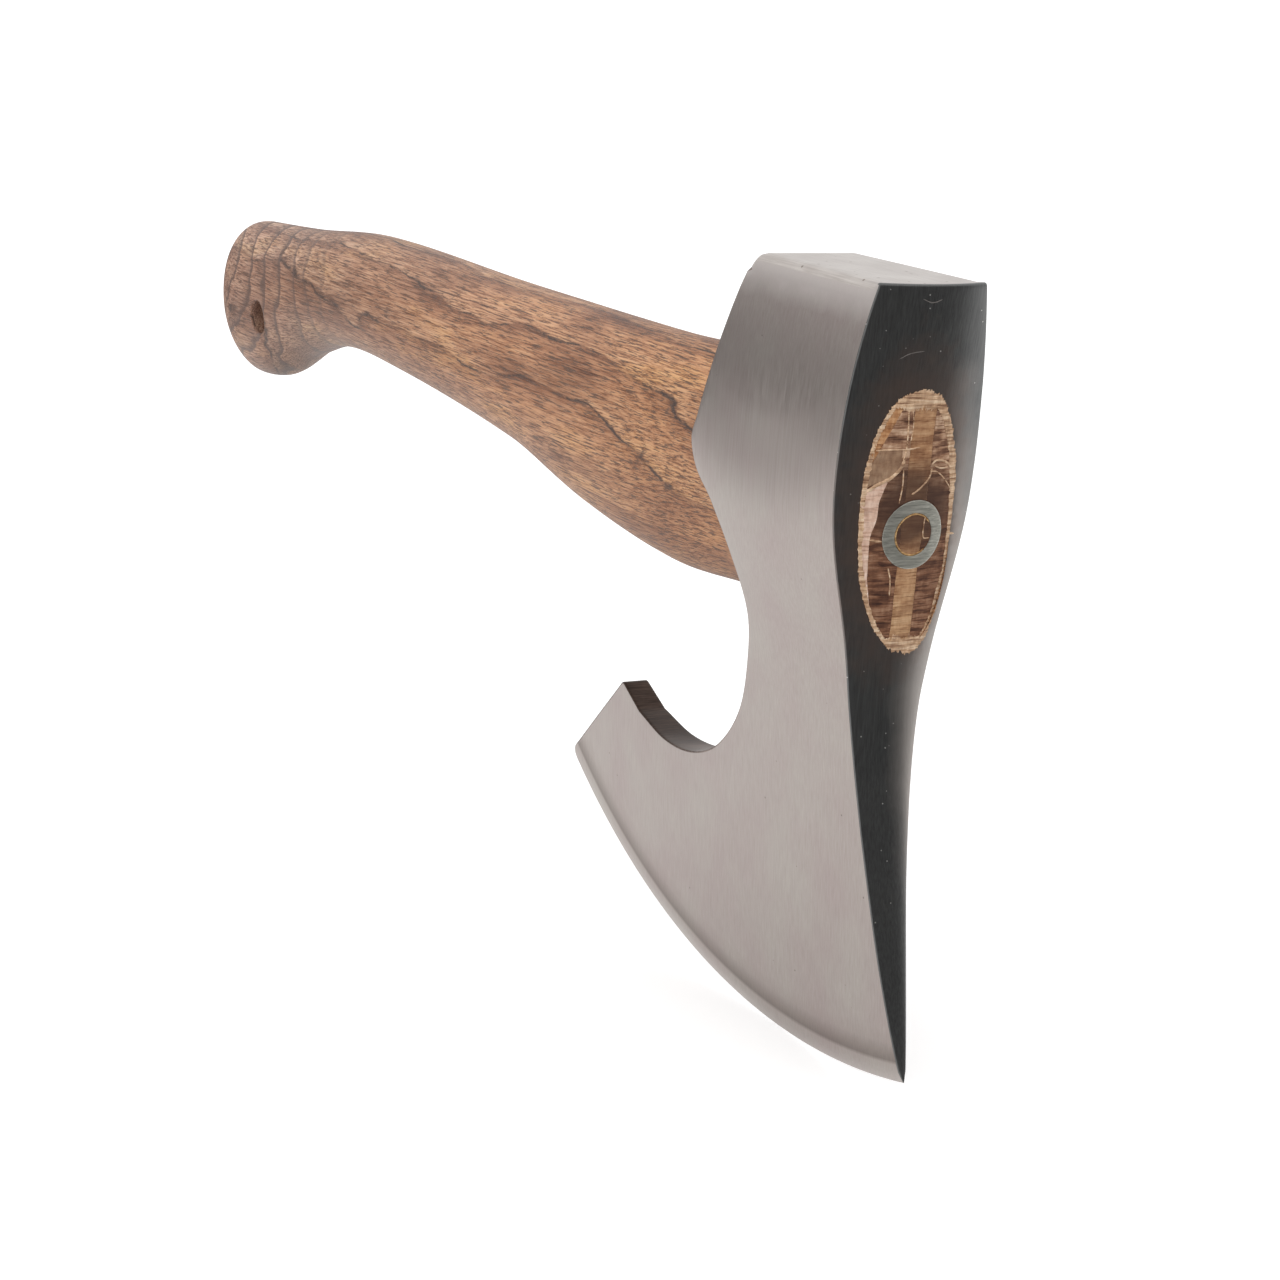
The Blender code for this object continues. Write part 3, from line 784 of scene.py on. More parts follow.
# the poll: ground along its length, the palest face, with a few dents
pollSteel = groundSteel("satinSteelPoll", {
    "roughness": 0.38, "pitch": 0.35 * mm, "lineLength": 12 * mm, "along": 0, "blotch": 10 * mm,
    "dark": "#c4bcb7", "light": "#d6d0cb", "lineDark": "#a9a29e", "lineShare": 0.5,
    "pitSpacing": 3.5 * mm, "pitSize": 0.35 * mm, "pit": "#8a7f76", "bump": 0.35,
})


# The handle
handle = {
    "length": 347.5 * mm,
    "knobDrop": 5.2 * mm,
    "gripStart": 1 * mm,
    "knobRoundTop": 24 * mm,
    "knobRoundBottom": 30 * mm,
    "knobRoundSides": 36 * mm,
    "holeRadius": 4.25 * mm,
    "holeFromEnd": 46 * mm,
    "holeDrop": 7.5 * mm,
    # how much wider the hole is at each y, in mm
    "holeFlare": [(-16, 2.8), (-11.9, 0.63), (-11.2, 0.21), (-10.4, 0),
                  (10.4, 0), (11.2, 0.21), (11.9, 0.63), (16, 2.8)],
    "sections": 230,
    # above, below and beside the eye's axis, at shares of the grip's length from the head, in mm
    "top": [(0.143, 21.4), (0.39, 20.8), (0.66, 21.5), (0.81, 17.8), (1, 14.6)],
    "bottom": [(0.05, 24.6), (0.124, 25.7), (0.24, 21.5), (0.36, 14.3), (0.62, 8.6), (0.72, 9.4),
               (0.8, 15.5), (0.876, 24.8), (1, 24.8)],
    "side": [(0.17, 12.2), (0.29, 12.8), (0.62, 12.1), (0.84, 11.8), (1, 12)],
}
knobX = endX - handle["length"]
gripX = -pollHalf - handle["gripStart"]
gripLength = gripX - knobX


def closing(x, length):
    # how open the knob is: 1 along the grip, and near 0 at its end
    left = 1 - min((x - knobX) / length, 1)
    return max(math.sqrt(1 - left**2), 0.012)


def gripRings(count):
    tongueSide = eye["width"] / 2 - eye["draft"] - eye["gap"]
    tongueUp = eye["height"] / 2 - eye["draft"] - eye["gap"]
    lugShare = (gripX - lugX) / gripLength
    top = [(0, tongueUp), (0.8 * lugShare, tongueUp)] + [(s, v * mm) for s, v in handle["top"]]
    bottom = [(0, tongueUp)] + [(s, v * mm) for s, v in handle["bottom"]]
    side = [(0, tongueSide), (lugShare, tongueSide)] + [(s, v * mm) for s, v in handle["side"]]
    lean = [(0, eye["lean"]), (lugShare, eye["lean"]), (0.3, 0)]
    drop = handle["knobDrop"]
    rings = []
    for k in range(handle["sections"]):
        share = (k / handle["sections"]) ** 1.6
        x = knobX + gripLength * share
        high = (smoothValue(top, 1 - share) + drop) * closing(x, handle["knobRoundTop"]) - drop
        low = (smoothValue(bottom, 1 - share) - drop) * closing(x, handle["knobRoundBottom"]) + drop
        halfWidth = smoothValue(side, 1 - share) * closing(x, handle["knobRoundSides"])
        ring = []
        for j in range(count):
            y, z = oval(halfWidth, (high + low) / 2, 2 * math.pi * j / count)
            z += (high - low) / 2
            ring.append((x, y - smoothValue(lean, 1 - share) * z, axisZ + z))
        rings.append(ring)
    return rings


def sawnRelief(y, z, depth):
    # what the saw and the sander left across the end grain
    strokes = noise.noise((y * 60, 1.3, z * 2600)) + 0.6 * noise.noise((y * 150, 5.9, z * 1100))
    pores = noise.noise((y * 1500, 9.2, z * 1500))
    return depth * (strokes + 0.5 * pores)


def endX3(y, z, relief, lift=0.0):
    return (endFaceX(y, z) + sawnRelief(y, z, relief) + lift, y, z)


def tongueSolid(name, rings, relief, materials):
    # a body whose last section is the sawn end of the eye
    skin = Skin()
    count = len(rings[0])
    outline = eyeLoop(endX, -eye["seat"], count)
    loops = skin.tube(rings + [[(endFaceX(y, z) - 0.1 * mm, y, z) for y, z in outline]], ends="open")
    skin.face(list(reversed(loops[0])))
    smaller = eyeLoop(endX, -eye["seat"] - 0.1 * mm, count)
    bevelled = skin.add([endX3(y, z, relief) for y, z in smaller])
    skin.bridge(loops[-1], bevelled, 1)
    inner = gridIn(smaller, [], inEye["sawnStep"])
    flat, triangles = fillLoop(smaller, [], inner)
    known = bevelled + skin.add([endX3(y, z, relief) for y, z in flat[count:]])
    for t in triangles:
        skin.face([known[k] for k in t], 1)
    return skin.build(name, 50, 1e-7, materials)


# What is driven into the end of the handle
inEye = {
    "wedgeThickness": 4.6 * mm,
    "wedgeTip": 1 * mm,
    "wedgeDepth": 34 * mm,
    "wedgeAside": 0.7 * mm,
    "wedgeWave": 0.35 * mm,
    "ringWall": 2.4 * mm,
    "ringBevel": 0.12 * mm,
    "ringProud": 0.1 * mm,
    "ringRelief": 0.015 * mm,
    "slipDepth": 12 * mm,
    "slipReach": 14 * mm,
    "torn": 0.15 * mm,
    "seam": 0.04 * mm,  # what shows between two neighbours
    "woodRelief": 0.05 * mm,
    "sawnStep": 0.4 * mm,  # between the points on the sawn faces
    # the chip's and the glue's free sides, as (y, z) from the eye's middle in mm
    "chipEdge": [(-3.2, 13.3), (-3.1, 11.6), (-3.4, 10.2), (-4.6, 8.8), (-6.4, 7.7), (-9.2, 6.6)],
    "glueEdge": [(-9.6, 6.1), (-7.2, 6.9), (-5.5, 7.6), (-5.9, 6.2), (-6.6, 3.8), (-6.7, 0.7),
                 (-7.5, -2.5), (-7.4, -6.4), (-7.0, -11.2), (-6.1, -15.5), (-4.9, -20.0), (-4.4, -24.0)],
}
ringRadius = (ringHigh.y - ringLow.y) / 2
ringCentre = ((ringHigh.y + ringLow.y) / 2, (ringHigh.z + ringLow.z) / 2)
pastEnd = 6 * mm  # how far the cutters reach beyond the end face


def barAlong(name, outline, x0, x1, spacing=0.6 * mm, ragged=0.0):
    # a bar along X with a (y, z) outline, its sides a little torn
    loop = spacedOut(outline + outline[:1], spacing)
    middle = np.mean(loop, axis=0)
    torn = []
    for y, z in loop:
        out = Vector((y - middle[0], z - middle[1])).normalized()
        shift = ragged * noise.noise((y * 700, 4.4, z * 700))
        torn.append((y + out.x * shift, z + out.y * shift))
    skin = Skin()
    skin.tube([[(x, y, z) for y, z in torn] for x in (x0, x1)])
    return skin.build(name, merge=1e-7)


def wedgeBody(name, more):
    # the wedge, this much larger all round, with gently waving sides
    aside, depth, tip = inEye["wedgeAside"], inEye["wedgeDepth"], inEye["wedgeTip"]
    slope = (inEye["wedgeThickness"] - tip) / 2 / depth
    front = inEye["wedgeThickness"] / 2 + pastEnd * slope + more
    back = tip / 2 + more
    reach = eye["height"] / 2 + pastEnd
    x0, x1 = endX - depth - more, endX + pastEnd
    rows = []
    for k in range(61):
        z = axisZ + reach * (2 * k / 60 - 1)
        near, far = (aside + inEye["wedgeWave"] * noise.noise((0, s, z * 160)) for s in (1.7, 6.3))
        row = [(x0, aside - back), (x1, near - front), (x1, far + front), (x0, aside + back)]
        rows.append([(x, y, z) for x, y in row])
    skin = Skin()
    skin.tube(rows)
    return skin.build(name, merge=1e-7)


def ringBody(name, more):
    # the tube that cuts the ring's groove
    inside, outside = ringRadius - inEye["ringWall"] - more, ringRadius + more
    x0, x1 = ringLow.x - more, endX + pastEnd
    rows = []
    for k in range(96):
        row = ((x0, inside), (x0, outside), (x1, outside), (x1, inside))
        rows.append([(x, *onCircle(ringCentre, r, 2 * math.pi * k / 96)) for x, r in row])
    skin = Skin()
    skin.tube(rows, ends="joined")
    return skin.build(name, merge=1e-7)


def slipOutlines():
    w, h = eye["width"] / 2, eye["height"] / 2
    reach = inEye["slipReach"]
    shim = [(-0.33 * w, 0.95 * h), (-0.33 * w, 1.3 * h), (-reach, 1.3 * h), (-reach, 0.44 * h)]
    shim.append((-0.92 * w, 0.44 * h))
    chip = [(-reach, 13.3 * mm)] + throughMillimetres(inEye["chipEdge"], 6) + [(-reach, 6.2 * mm)]
    glue = [(-reach, 6.0 * mm)] + throughMillimetres(inEye["glueEdge"], 6)
    glue += [(-4.4 * mm, -1.3 * h), (-reach, -1.3 * h)]
    outlines = {"shim": shim, "chip": chip, "glue": glue}
    return {name: [(y, axisZ + z) for y, z in outline] for name, outline in outlines.items()}


def eyeSection(x, more):
    return [(x, y, z) for y, z in eyeLoop(x, more, 96)]


def plugRings(depth):
    return [eyeSection(x, -eye["seat"] - 0.02 * mm) for x in (endX - depth, endX - 1.5 * mm)]


def makeHandle(materials):
    rings = gripRings(96)
    rings += [eyeSection(x, -eye["gap"]) for x in np.linspace(gripX, endX - 8 * mm, 8)]
    rings += [eyeSection(x, -eye["seat"]) for x in (endX - 6 * mm, endX - 1.5 * mm)]
    piece = tongueSolid("hatchetHandle", rings, inEye["woodRelief"], materials)
    cutters = [wedgeBody("kerf", inEye["seam"]), ringBody("groove", inEye["seam"])]
    ends = (endX - inEye["slipDepth"] - 0.3 * mm, endX + pastEnd)
    for name, outline in slipOutlines().items():
        cutters.append(barAlong(name + "Room", outline, *ends, ragged=inEye["torn"]))
    cutters.append(holeCutter())
    return cutWith(piece, [(cutter, "DIFFERENCE") for cutter in cutters])


def holeCutter():
    # straight through the knob, and flared where it comes out
    middle = (knobX + handle["holeFromEnd"], axisZ - handle["holeDrop"])
    rows = []
    for y, flare in handle["holeFlare"]:
        radius = handle["holeRadius"] + flare * mm
        ring = [onCircle(middle, radius, 2 * math.pi * k / 72) for k in range(72)]
        rows.append([(x, y * mm, z) for x, z in ring])
    skin = Skin()
    skin.tube(rows)
    return skin.build("lanyardHole", merge=1e-7)


def makeWedge(materials):
    rings = plugRings(inEye["wedgeDepth"] + 2 * mm)
    piece = tongueSolid("kerfWedge", rings, inEye["woodRelief"], materials)
    steps = [(wedgeBody("wedgeForm", 0), "INTERSECT"), (ringBody("groove", inEye["seam"]), "DIFFERENCE")]
    return cutWith(piece, steps)


def makeSlip(name, outline, others, relief, materials):
    piece = tongueSolid(name, plugRings(inEye["slipDepth"]), relief, materials)
    ends = (endX - 2 * inEye["slipDepth"], endX + pastEnd)
    steps = [(barAlong(name + "Form", outline, *ends, ragged=inEye["torn"]), "INTERSECT")]
    for k, other in enumerate(others):
        steps.append((barAlong(f"{name}Room{k}", other, *ends, ragged=inEye["torn"]), "DIFFERENCE"))
    return cutWith(piece, steps)


# Glue and crushed fibre that stand proud of the sawn end
squeezed = {
    "lift": 0.1 * mm,
    "sunk": 0.15 * mm,
    "film": 0.8 * mm,  # how far it reaches over the wood all round, and in the tufts
    "topTuft": 2.2 * mm,
    "lowTuft": 1.7 * mm,
    "tornRelief": 0.16 * mm,
    "over": 0.14 * mm,  # how far it lies over the steel all round, above, below and at the upper right
    "crown": 0.2 * mm,
    "foot": 0.2 * mm,
    "shoulder": 0.95 * mm,
    # lines of it in the cracks: width, then (y, z) from the eye's middle, in mm
    "lines": [
        (0.3, [(-3.2, 21.8), (-2.7, 17.9), (-2.5, 13.6), (-2.9, 11.2)]),
        (0.8, [(-2.6, 11.6), (-3.2, 10.0), (-4.4, 8.7), (-6.0, 7.7), (-7.6, 6.9), (-9.0, 5.8)]),
        (0.28, [(-2.6, 9.9), (-2.4, 7.6), (-2.4, 6.1), (-2.7, 3.6)]),
        (0.4, [(3.5, 9.8), (3.3, 8.4), (2.2, 7.0), (0.5, 5.6), (-0.3, 5.2)]),
        (0.3, [(-8.4, 13.3), (-6.0, 13.5), (-2.8, 13.5), (0.4, 13.9)]),
        (0.3, [(3.2, 9.4), (4.9, 9.1), (6.7, 7.8), (8.5, 5.9), (9.9, 3.6)]),
        (0.5, [(3.4, 10.6), (4.4, 11.3), (6.9, 10.8), (8.6, 9.0)]),
        (0.35, [(4.2, 10.2), (5.6, 9.8), (7.4, 9.9)]),
        (0.5, [(-7.6, -3.1), (-5.2, -3.4)]),
        (0.5, [(9.0, -2.7), (11.2, -2.9)]),
        (0.28, [(3.3, 0.9), (3.2, -1.6), (3.5, -3.0), (4.9, -3.1)]),
        (0.3, [(-3.4, -8.3), (-2.7, -10.5), (-2.5, -13.6)]),
        (0.22, [(-1.9, 14.5), (-1.7, 18.0), (-2.2, 21.0)]),
    ],
}


def addRidge(skin, line, width, zone, lift=None):
    # a low ridge along a (y, z) line, thinning towards its ends
    line = spacedOut(line, 0.25 * mm) + [line[-1]]
    rows = []
    for k, (y, z) in enumerate(line):
        before, after = line[max(k - 1, 0)], line[min(k + 1, len(line) - 1)]
        run = Vector((after[0] - before[0], after[1] - before[1])).normalized()
        taper = min(1, 0.25 + 0.5 * k, 0.25 + 0.5 * (len(line) - 1 - k))
        row = []
        for side in (-1, -0.45, 0.45, 1):
            ragged = 1 + 0.5 * noise.noise((y * 1500, side * 7, z * 1500))
            reach = side * width / 2 * taper * ragged
            up = (lift or squeezed["lift"]) if abs(side) < 1 else -squeezed["sunk"]
            row.append(endX3(y - run.y * reach, z + run.x * reach, 0 if lift else 0.03 * mm, up))
        rows.append(row)
    skin.tube(rows, zone)


def filmWidth(turn):
    # crushed fibre stands in tufts at the top and at the bottom of the eye
    side, up = math.cos(turn), math.sin(turn)
    rough = noise.noise((side * 3, up * 3, 2.2)) + 0.8 * noise.noise((side * 45, up * 45, 5.1))
    top = squeezed["topTuft"] * min(max(up - 0.9, 0) / 0.07, 1)
    low = squeezed["lowTuft"] * min(max(-up - 0.93, 0) / 0.05, 1)
    return squeezed["film"] * (1 + 0.6 * rough) + (top + low) * (1 + 0.5 * rough)


def overhang(turn):
    # how far it has crept out over the steel
    side, up = math.cos(turn), math.sin(turn)
    rough = noise.noise((side * 4, up * 4, 7.7)) + 1.3 * noise.noise((side * 60, up * 60, 3.3))
    tufts = squeezed["crown"] * min(max(up - 0.74, 0) / 0.1, 1)
    tufts += squeezed["foot"] * min(max(-up - 0.93, 0) / 0.05, 1)
    shoulder = squeezed["shoulder"] * max(math.cos(1.5 * (turn - math.radians(46))), 0) ** 2 * (side > 0)
    reach = squeezed["over"] * (1 + 1.6 * rough) + tufts * (1 + 1.1 * rough)
    return max(0.02 * mm, reach + shoulder * (1 + 0.2 * rough))


def addFilm(skin, zone):
    # the skin of glue all round the rim, on the wood and a little over the steel
    count = 360
    outer = eyeLoop(endX, -0.01 * mm, count)
    lines = []
    for reachAt in (overhang, lambda turn: -filmWidth(turn)):
        lines.append([])
        for turn in (2 * math.pi * k / count for k in range(count)):
            reach = reachAt(turn)
            y, z = oval(eye["width"] / 2 + reach, eye["height"] / 2 + reach, turn)
            lines[-1].append((y - eye["lean"] * z, axisZ + z))
    over, inner = lines
    rows = [[(endFaceX(y, z) - 2 * mm, y, z) for y, z in outer]]
    for line, lift in ((outer, 0.3), (over, 0.3), (over, 0.45)):
        rows.append([(endFaceX(y, z) + lift * squeezed["lift"], y, z) for y, z in line])
    for share, lift in ((0, 0.9), (0.12, 0.8), (0.5, 1), (0.85, 0.8), (1, -1.2)):
        row = []
        for (y0, z0), (y1, z1) in zip(outer, inner):
            y, z = y0 + (y1 - y0) * share, z0 + (z1 - z0) * share
            torn = squeezed["tornRelief"] * noise.noise((y * 1900, share, z * 1900))
            up = lift * squeezed["lift"] + (torn if 0 < share < 1 else 0)
            row.append((endFaceX(y, z) + up, y, z))
        rows.append(row)
    rows.append([(x - 1.9 * mm, y, z) for x, y, z in rows[-1]])
    skin.tube(rows, zone, "joined")


def makeGlue(outline, materials):
    piece = makeSlip("glueFillet", outline, [], inEye["woodRelief"], materials[:1])
    skin = Skin()
    addFilm(skin, 1)
    for width, line in squeezed["lines"]:
        addRidge(skin, throughMillimetres(line, 4, axisZ), 1.2 * width * mm, 1)
    # gold wood shows as a rim inside the ring's bore
    inside = ringRadius - inEye["ringWall"] - 0.22 * mm
    rim = [onCircle(ringCentre, inside, math.radians(35 + 5 * k)) for k in range(57)]
    addRidge(skin, rim, 0.45 * mm, 2)
    extra = skin.build("glueLines", 50, 1e-7, materials)
    for material in materials[1:]:
        piece.data.materials.append(material)
    form = bmesh.new()
    form.from_mesh(piece.data)
    form.from_mesh(extra.data)
    form.to_mesh(piece.data)
    form.free()
    bpy.data.objects.remove(extra, do_unlink=True)
    piece.data.shade_smooth()
    piece.data.set_sharp_from_angle(angle=math.radians(50))
    return piece


def makeRing(materials):
    # sawn and sanded flush with the end face
    inside, bevel, proud = ringRadius - inEye["ringWall"], inEye["ringBevel"], inEye["ringProud"]
    radii = [inside, inside + bevel, *np.linspace(inside + 0.3 * mm, ringRadius - 0.3 * mm, 7)]
    radii += [ringRadius - bevel, ringRadius]
    rows = [[] for r in range(len(radii) + 2)]
    for k in range(180):
        turn = 2 * math.pi * k / 180
        places = [(ringLow.x, radii[0])]
        for r in radii:
            y, z = onCircle(ringCentre, r, turn)
            x = endFaceX(y, z) + proud + sawnRelief(y, z, inEye["ringRelief"])
            places.append((x - (proud if r in (radii[0], radii[-1]) else 0), r))
        places.append((ringLow.x, radii[-1]))
        for row, (x, r) in zip(rows, places):
            row.append((x, *onCircle(ringCentre, r, turn)))
    skin = Skin()
    skin.tube(rows, ends="joined")
    return skin.build("ringWedge", 40, 1e-7, materials)


# Woods, glue and the ring's steel
def oiledWood(name, look):
    # hardwood, shaped and oiled: fine straight fibres and pores, and a few dark broken growth lines.
    # Its pores are about 0.15 mm across, so they are drawn twice as wide to show
    material, tree, shader, place = newMaterial(name, look["roughness"])
    split = addNode(tree, "SeparateXYZ", inputs={0: place}).outputs
    along = addNode(tree, "MapRange", inputs={0: split["X"], 1: knobX, 2: gripX, 3: 0.0, 4: 1.0})
    base = addNode(tree, "ValToRGB", {"stops": look["tintStops"]}, {0: along})
    base = shade(tree, base, grain(tree, place, look["patchSize"], 5, 0.62), look["patchStops"])
    # growth lines: sheets through the handle, bent by slow noise and broken by a quicker one
    bent = addNode(tree, "Math", multiplyAdd, {0: split["Z"], 1: look["tilt"], 2: split["Y"]})
    bent = addNode(tree, "Math", multiplyAdd, {0: split["X"], 1: look["slope"], 2: bent})
    for lengths, rough, reach in look["bends"]:
        drift = grain(tree, place, lengths, 3, rough)
        bent = addNode(tree, "Math", multiplyAdd, {0: drift, 1: reach, 2: bent})
    rings = addNode(tree, "Math", multiply, {0: bent, 1: 1 / look["ringWidth"]})
    part = addNode(tree, "Math", {"operation": "FRACT"}, {0: rings})
    base = shade(tree, base, part, look["ringStops"], look["ringShare"])
    fibres = grain(tree, place, look["fibreSize"], 5, 0.75)
    base = shade(tree, base, fibres, look["fibreStops"])
    broken = grain(tree, place, look["breakSize"], 5, 0.7)
    broken = addNode(tree, "ValToRGB", {"stops": look["breakStops"]}, {0: broken})
    line = addNode(tree, "ValToRGB", {"stops": look["lineStops"]}, {0: part})
    line = addNode(tree, "Math", multiply, {0: line, 1: broken})
    base = addNode(tree, "Mix", mixColours, {0: line, 6: base, 7: look["line"]}).outputs[2]
    # at the knob the growth rings are cut across, so they show as arcs
    centre = (-knobX - look["knobCentre"][0], 0, -axisZ - look["knobCentre"][1])
    flat = addNode(tree, "Mapping", inputs={"Vector": place, "Location": centre})
    flat = addNode(tree, "VectorMath", {"operation": "MULTIPLY"}, {0: flat, 1: look["knobStretch"]})
    away = addNode(tree, "VectorMath", {"operation": "LENGTH"}, {0: flat}).outputs["Value"]
    wobble = grain(tree, place, [look["wobbleSize"]] * 3, 4, 0.55)
    arcs = addNode(tree, "Math", multiplyAdd, {0: wobble, 1: look["wobble"], 2: away})
    arcs = addNode(tree, "Math", multiply, {0: arcs, 1: 1 / look["knobRing"]})
    arcs = addNode(tree, "Math", {"operation": "FRACT"}, {0: arcs})
    arcs = addNode(tree, "ValToRGB", {"stops": look["knobStops"]}, {0: arcs})
    near = addNode(tree, "MapRange", inputs={
        0: away, 1: look["knobReach"], 2: 0.6 * look["knobReach"], 3: 0.0, 4: look["knobShare"]})
    arcs = addNode(tree, "Math", multiply, {0: arcs, 1: near})
    base = addNode(tree, "Mix", mixColours, {0: arcs, 6: base, 7: look["knobLine"]}).outputs[2]
    pores = grain(tree, place, look["poreSize"], 3, 0.6)
    pores = addNode(tree, "ValToRGB", {"stops": look["poreStops"]}, {0: pores})
    base = addNode(tree, "Mix", mixColours, {0: pores, 6: base, 7: look["pore"]}).outputs[2]
    tree.links.new(base, shader.inputs["Base Color"])
    height = addNode(tree, "Math", multiplyAdd, {0: pores, 1: -1.0, 2: fibres})
    bump = addNode(tree, "Bump", inputs={"Strength": 0.6, "Distance": 0.15 * mm, "Height": height})
    tree.links.new(bump.outputs[0], shader.inputs["Normal"])
    return material


sawn = {
    "strokeLength": 7 * mm,
    "bandLength": 6 * mm,
    "grainSize": (5 * mm, 0.8 * mm, 2.5 * mm),
    "depth": 5 * mm,  # along the fibres, where hardly anything changes
}


def endGrain(name, look):
    # sawn across the grain: the saw's strokes, scorched bands and pale torn fibres
    material, tree, shader, place = newMaterial(name, look["roughness"])
    strokes = grain(tree, place, (sawn["depth"], sawn["strokeLength"], look["strokeWidth"]), 5, 0.75)
    bands = grain(tree, place, (sawn["depth"], sawn["bandLength"], look["bandWidth"]), 3, 0.6)
    grains = grain(tree, place, sawn["grainSize"], 4, 0.6)
    colour = addNode(tree, "ValToRGB", {"stops": look["grainStops"]}, {0: grains})
    colour = shade(tree, colour, bands, look["bandStops"], look["bandShare"])
    colour = shade(tree, colour, strokes, look["strokeStops"])
    if look.get("heightStops"):
        split = addNode(tree, "SeparateXYZ", inputs={0: place})
        low, high = axisZ - eye["height"] / 2, axisZ + eye["height"] / 2
        up = addNode(tree, "MapRange", inputs={0: split.outputs["Z"], 1: low, 2: high, 3: 0.0, 4: 1.0})
        colour = shade(tree, colour, up, look["heightStops"])
    if look.get("scorch"):
        colour = stainAndSheen(tree, place, colour, look["scorch"])
    tree.links.new(colour, shader.inputs["Base Color"])
    bump = addNode(tree, "Bump", inputs={"Strength": 0.5, "Distance": 0.06 * mm, "Height": strokes})
    tree.links.new(bump.outputs[0], shader.inputs["Normal"])
    return material


# the handle: a brown open-grained hardwood under dull oil, golden near the head and greyer at the knob
handleWood = oiledWood("oiledHardwood", {
    "roughness": 0.5,
    "tintStops": [(0.0, "#cfb8ad"), (0.3, "#c3a792"), (0.65, "#caa688"), (1.0, "#cfa984")],
    "patchSize": (40 * mm, 9 * mm, 9 * mm),
    "patchStops": [(0.34, "#bba69b"), (0.45, "#e0d0c6"), (0.55, "#f6eadf"), (0.66, "#fff3da")],
    # the growth sheets' tilts, and how noise of each size moves them
    "tilt": 0.6, "slope": 0.03, "ringWidth": 10 * mm,
    "bends": [
        ((75 * mm, 24 * mm, 24 * mm), 0.55, 20 * mm),
        ((2 * mm, 0.9 * mm, 0.9 * mm), 0.7, 0.9 * mm),
    ],
    "ringStops": [(0.0, "#ffffff"), (0.6, "#f6ece4"), (0.85, "#cbb6aa"),
                  (0.94, "#a48c7e"), (1.0, "#ffffff")],
    "ringShare": 0.7,
    "breakSize": (13 * mm, 7 * mm, 7 * mm), "breakStops": [(0.49, 0.0), (0.56, 1.0)],
    "lineStops": [(0.90, 0.0), (0.925, 1.0), (0.945, 1.0), (0.975, 0.0)], "line": "#3d2c25",
    "fibreSize": (13 * mm, 0.42 * mm, 0.42 * mm),
    "fibreStops": [(0.35, "#765e4f"), (0.45, "#ccbbb0"), (0.53, "#f4ece6"), (0.6, "#ffffff")],
    "poreSize": (5 * mm, 0.3 * mm, 0.3 * mm), "poreStops": [(0.54, 0.0), (0.61, 0.9)], "pore": "#563e31",
    "knobCentre": (-6 * mm, 1 * mm), "knobStretch": (0.55, 0.4, 1), "knobReach": 66 * mm,
    "knobRing": 6.4 * mm, "wobbleSize": 26 * mm, "wobble": 14 * mm,
    "knobStops": [(0.0, 0.0), (0.3, 0.12), (0.74, 0.4), (0.86, 1.0), (0.93, 1.0), (0.99, 0.0)],
    "knobShare": 0.85, "knobLine": "#55413a",
})
# the brown that the saw and the hot ring left in the middle of the eye
scorch = {"aside": 0.4 * mm, "drop": -axisZ - 2.6 * mm, "width": 8.6 * mm, "height": 7.6 * mm,
          "colour": "#4b3022", "share": 0.82, "cloud": 260}
# the tongue: the same hardwood cut across, brown and striped, paler and rougher at the top
tongueWood = endGrain("sawnEndGrain", {
    "roughness": 0.75, "strokeWidth": 0.3 * mm, "bandWidth": 1.3 * mm, "bandShare": 0.9,
    "grainStops": [(0.35, "#c0a086"), (0.5, "#ceb096"), (0.65, "#dfc4aa")],
    "bandStops": [(0.40, "#8d6e5c"), (0.5, "#dccabd"), (0.6, "#ffffff")],
    "strokeStops": [(0.37, "#84695a"), (0.46, "#e6dad0"), (0.54, "#ffffff")],
    "heightStops": [(0.0, "#d0baac"), (0.3, "#bea698"), (0.6, "#c4aea0"),
                    (0.75, "#f8f0ea"), (1.0, "#ffffff")],
    "scorch": scorch,
})
# the wedge: a paler wood than the handle, cut across
wedgeWood = endGrain("sawnPaleWedge", {
    "roughness": 0.75, "strokeWidth": 0.35 * mm, "bandWidth": 1.6 * mm, "bandShare": 0.7,
    "grainStops": [(0.35, "#cfae8c"), (0.5, "#d8b896"), (0.65, "#e4c8a6")],
    "bandStops": [(0.40, "#b89e8a"), (0.5, "#eaded2"), (0.62, "#ffffff")],
    "strokeStops": [(0.36, "#ac9888"), (0.46, "#f4ece4"), (0.6, "#ffffff")],
    "heightStops": [(0.0, "#fffaf2"), (0.25, "#f2e6da"), (0.45, "#ddc9b8"),
                    (0.8, "#e0cebf"), (1.0, "#efe2d6")],
    "scorch": scorch,
})
# the shim: a thin orange slip, torn more than sawn
shimWood = endGrain("tornOrangeShim", {
    "roughness": 0.8, "strokeWidth": 0.5 * mm, "bandWidth": 1.2 * mm, "bandShare": 0.6,
    "grainStops": [(0.35, "#bb8a5e"), (0.5, "#cc9d72"), (0.65, "#e0b98e")],
    "bandStops": [(0.40, "#a58468"), (0.5, "#ecdccc"), (0.62, "#ffffff")],
    "strokeStops": [(0.36, "#a8907c"), (0.46, "#f2e8de"), (0.6, "#ffffff")],
})
# the chip: worn smooth, so the strokes on it are wide and faint
chipWood = endGrain("smoothBrownChip", {
    "roughness": 0.6, "strokeWidth": 1.2 * mm, "bandWidth": 3 * mm, "bandShare": 0.5,
    "grainStops": [(0.35, "#957760"), (0.5, "#a5866c"), (0.65, "#b5977c")],
    "bandStops": [(0.38, "#ccb8a8"), (0.5, "#f0e6dc"), (0.62, "#ffffff")],
    "strokeStops": [(0.3, "#d6c8bc"), (0.5, "#f4eee8"), (0.7, "#ffffff")],
})
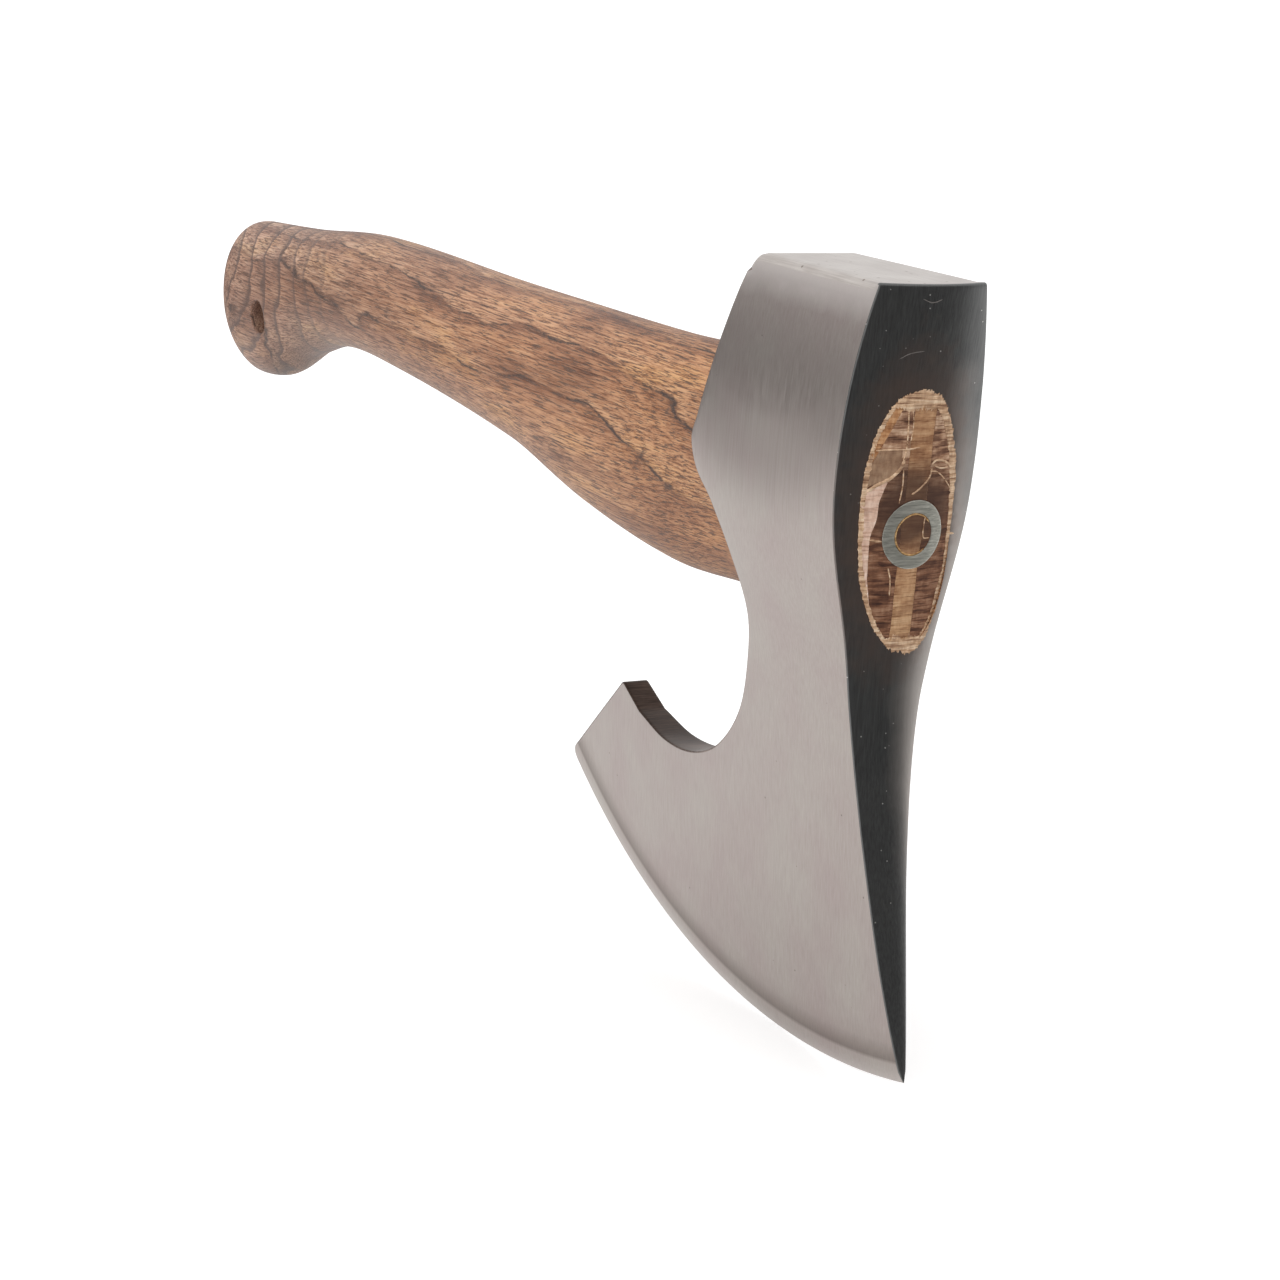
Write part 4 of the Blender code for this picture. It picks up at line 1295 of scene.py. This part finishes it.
# the glue: set hard, pinkish cream, with a slight shine
hardGlue = endGrain("hardenedGlue", {
    "roughness": 0.55, "strokeWidth": 0.5 * mm, "bandWidth": 0.7 * mm, "bandShare": 0.6,
    "grainStops": [(0.35, "#dcbeac"), (0.5, "#ecd0be"), (0.65, "#f8e2d2")],
    "bandStops": [(0.36, "#b49686"), (0.46, "#f0e0d6"), (0.62, "#ffffff")],
    "strokeStops": [(0.34, "#bca498"), (0.44, "#f6eee8"), (0.6, "#ffffff")],
})
# crushed fibre: dull straw-coloured fuzz with dark flecks
paleFibre = endGrain("crushedPaleFibre", {
    "roughness": 0.7, "strokeWidth": 0.35 * mm, "bandWidth": 0.6 * mm, "bandShare": 0.8,
    "grainStops": [(0.35, "#d6bba0"), (0.5, "#e6ccae"), (0.65, "#f8e0c2")],
    "bandStops": [(0.38, "#ac9280"), (0.48, "#e8d8ca"), (0.62, "#ffffff")],
    "strokeStops": [(0.36, "#a89284"), (0.46, "#f0e6de"), (0.6, "#ffffff")],
})
# the wood squeezed up inside the ring, more golden than the rest
goldFibre = endGrain("goldWoodRim", {
    "roughness": 0.6, "strokeWidth": 0.3 * mm, "bandWidth": 0.5 * mm, "bandShare": 0.7,
    "grainStops": [(0.35, "#c6a06c"), (0.5, "#d6b480"), (0.65, "#e8cc9c")],
    "bandStops": [(0.38, "#8f7454"), (0.48, "#e6d4bc"), (0.62, "#ffffff")],
    "strokeStops": [(0.36, "#a08a74"), (0.46, "#f0e6da"), (0.6, "#ffffff")],
})
# the ring: mild steel sanded flush with the wood, light grey with level scratches
ringSteel = groundSteel("sandedRingSteel", {
    "roughness": 0.5, "pitch": 0.3 * mm, "lineLength": 6 * mm, "along": 1, "blotch": 5 * mm,
    "dark": "#e2e0d6", "light": "#f0eee4", "lineDark": "#8f9088", "lineShare": 0.8,
    "pitSpacing": 4 * mm, "pitSize": 0.2 * mm, "pit": "#5d605c", "bump": 0.5,
})
settle(makeHead([cheekSteel, endSteel, notchSteel, pollSteel]), ["axe_head"])
outlines = slipOutlines()
settle(makeHandle([handleWood, tongueWood]), ["handle"])
settle(makeWedge([wedgeWood]), ["kerf_wedge"])
settle(makeSlip("eyeShim", outlines["shim"], [], 0.08 * mm, [shimWood]), ["eye_shim"])
chip = makeSlip("eyeChip", outlines["chip"], [outlines["shim"]], 0.03 * mm, [chipWood])
settle(chip, ["eye_chip"])
settle(makeGlue(outlines["glue"], [hardGlue, paleFibre, goldFibre]), ["glue_fillet"])
settle(makeRing([ringSteel]), ["ring_wedge"])
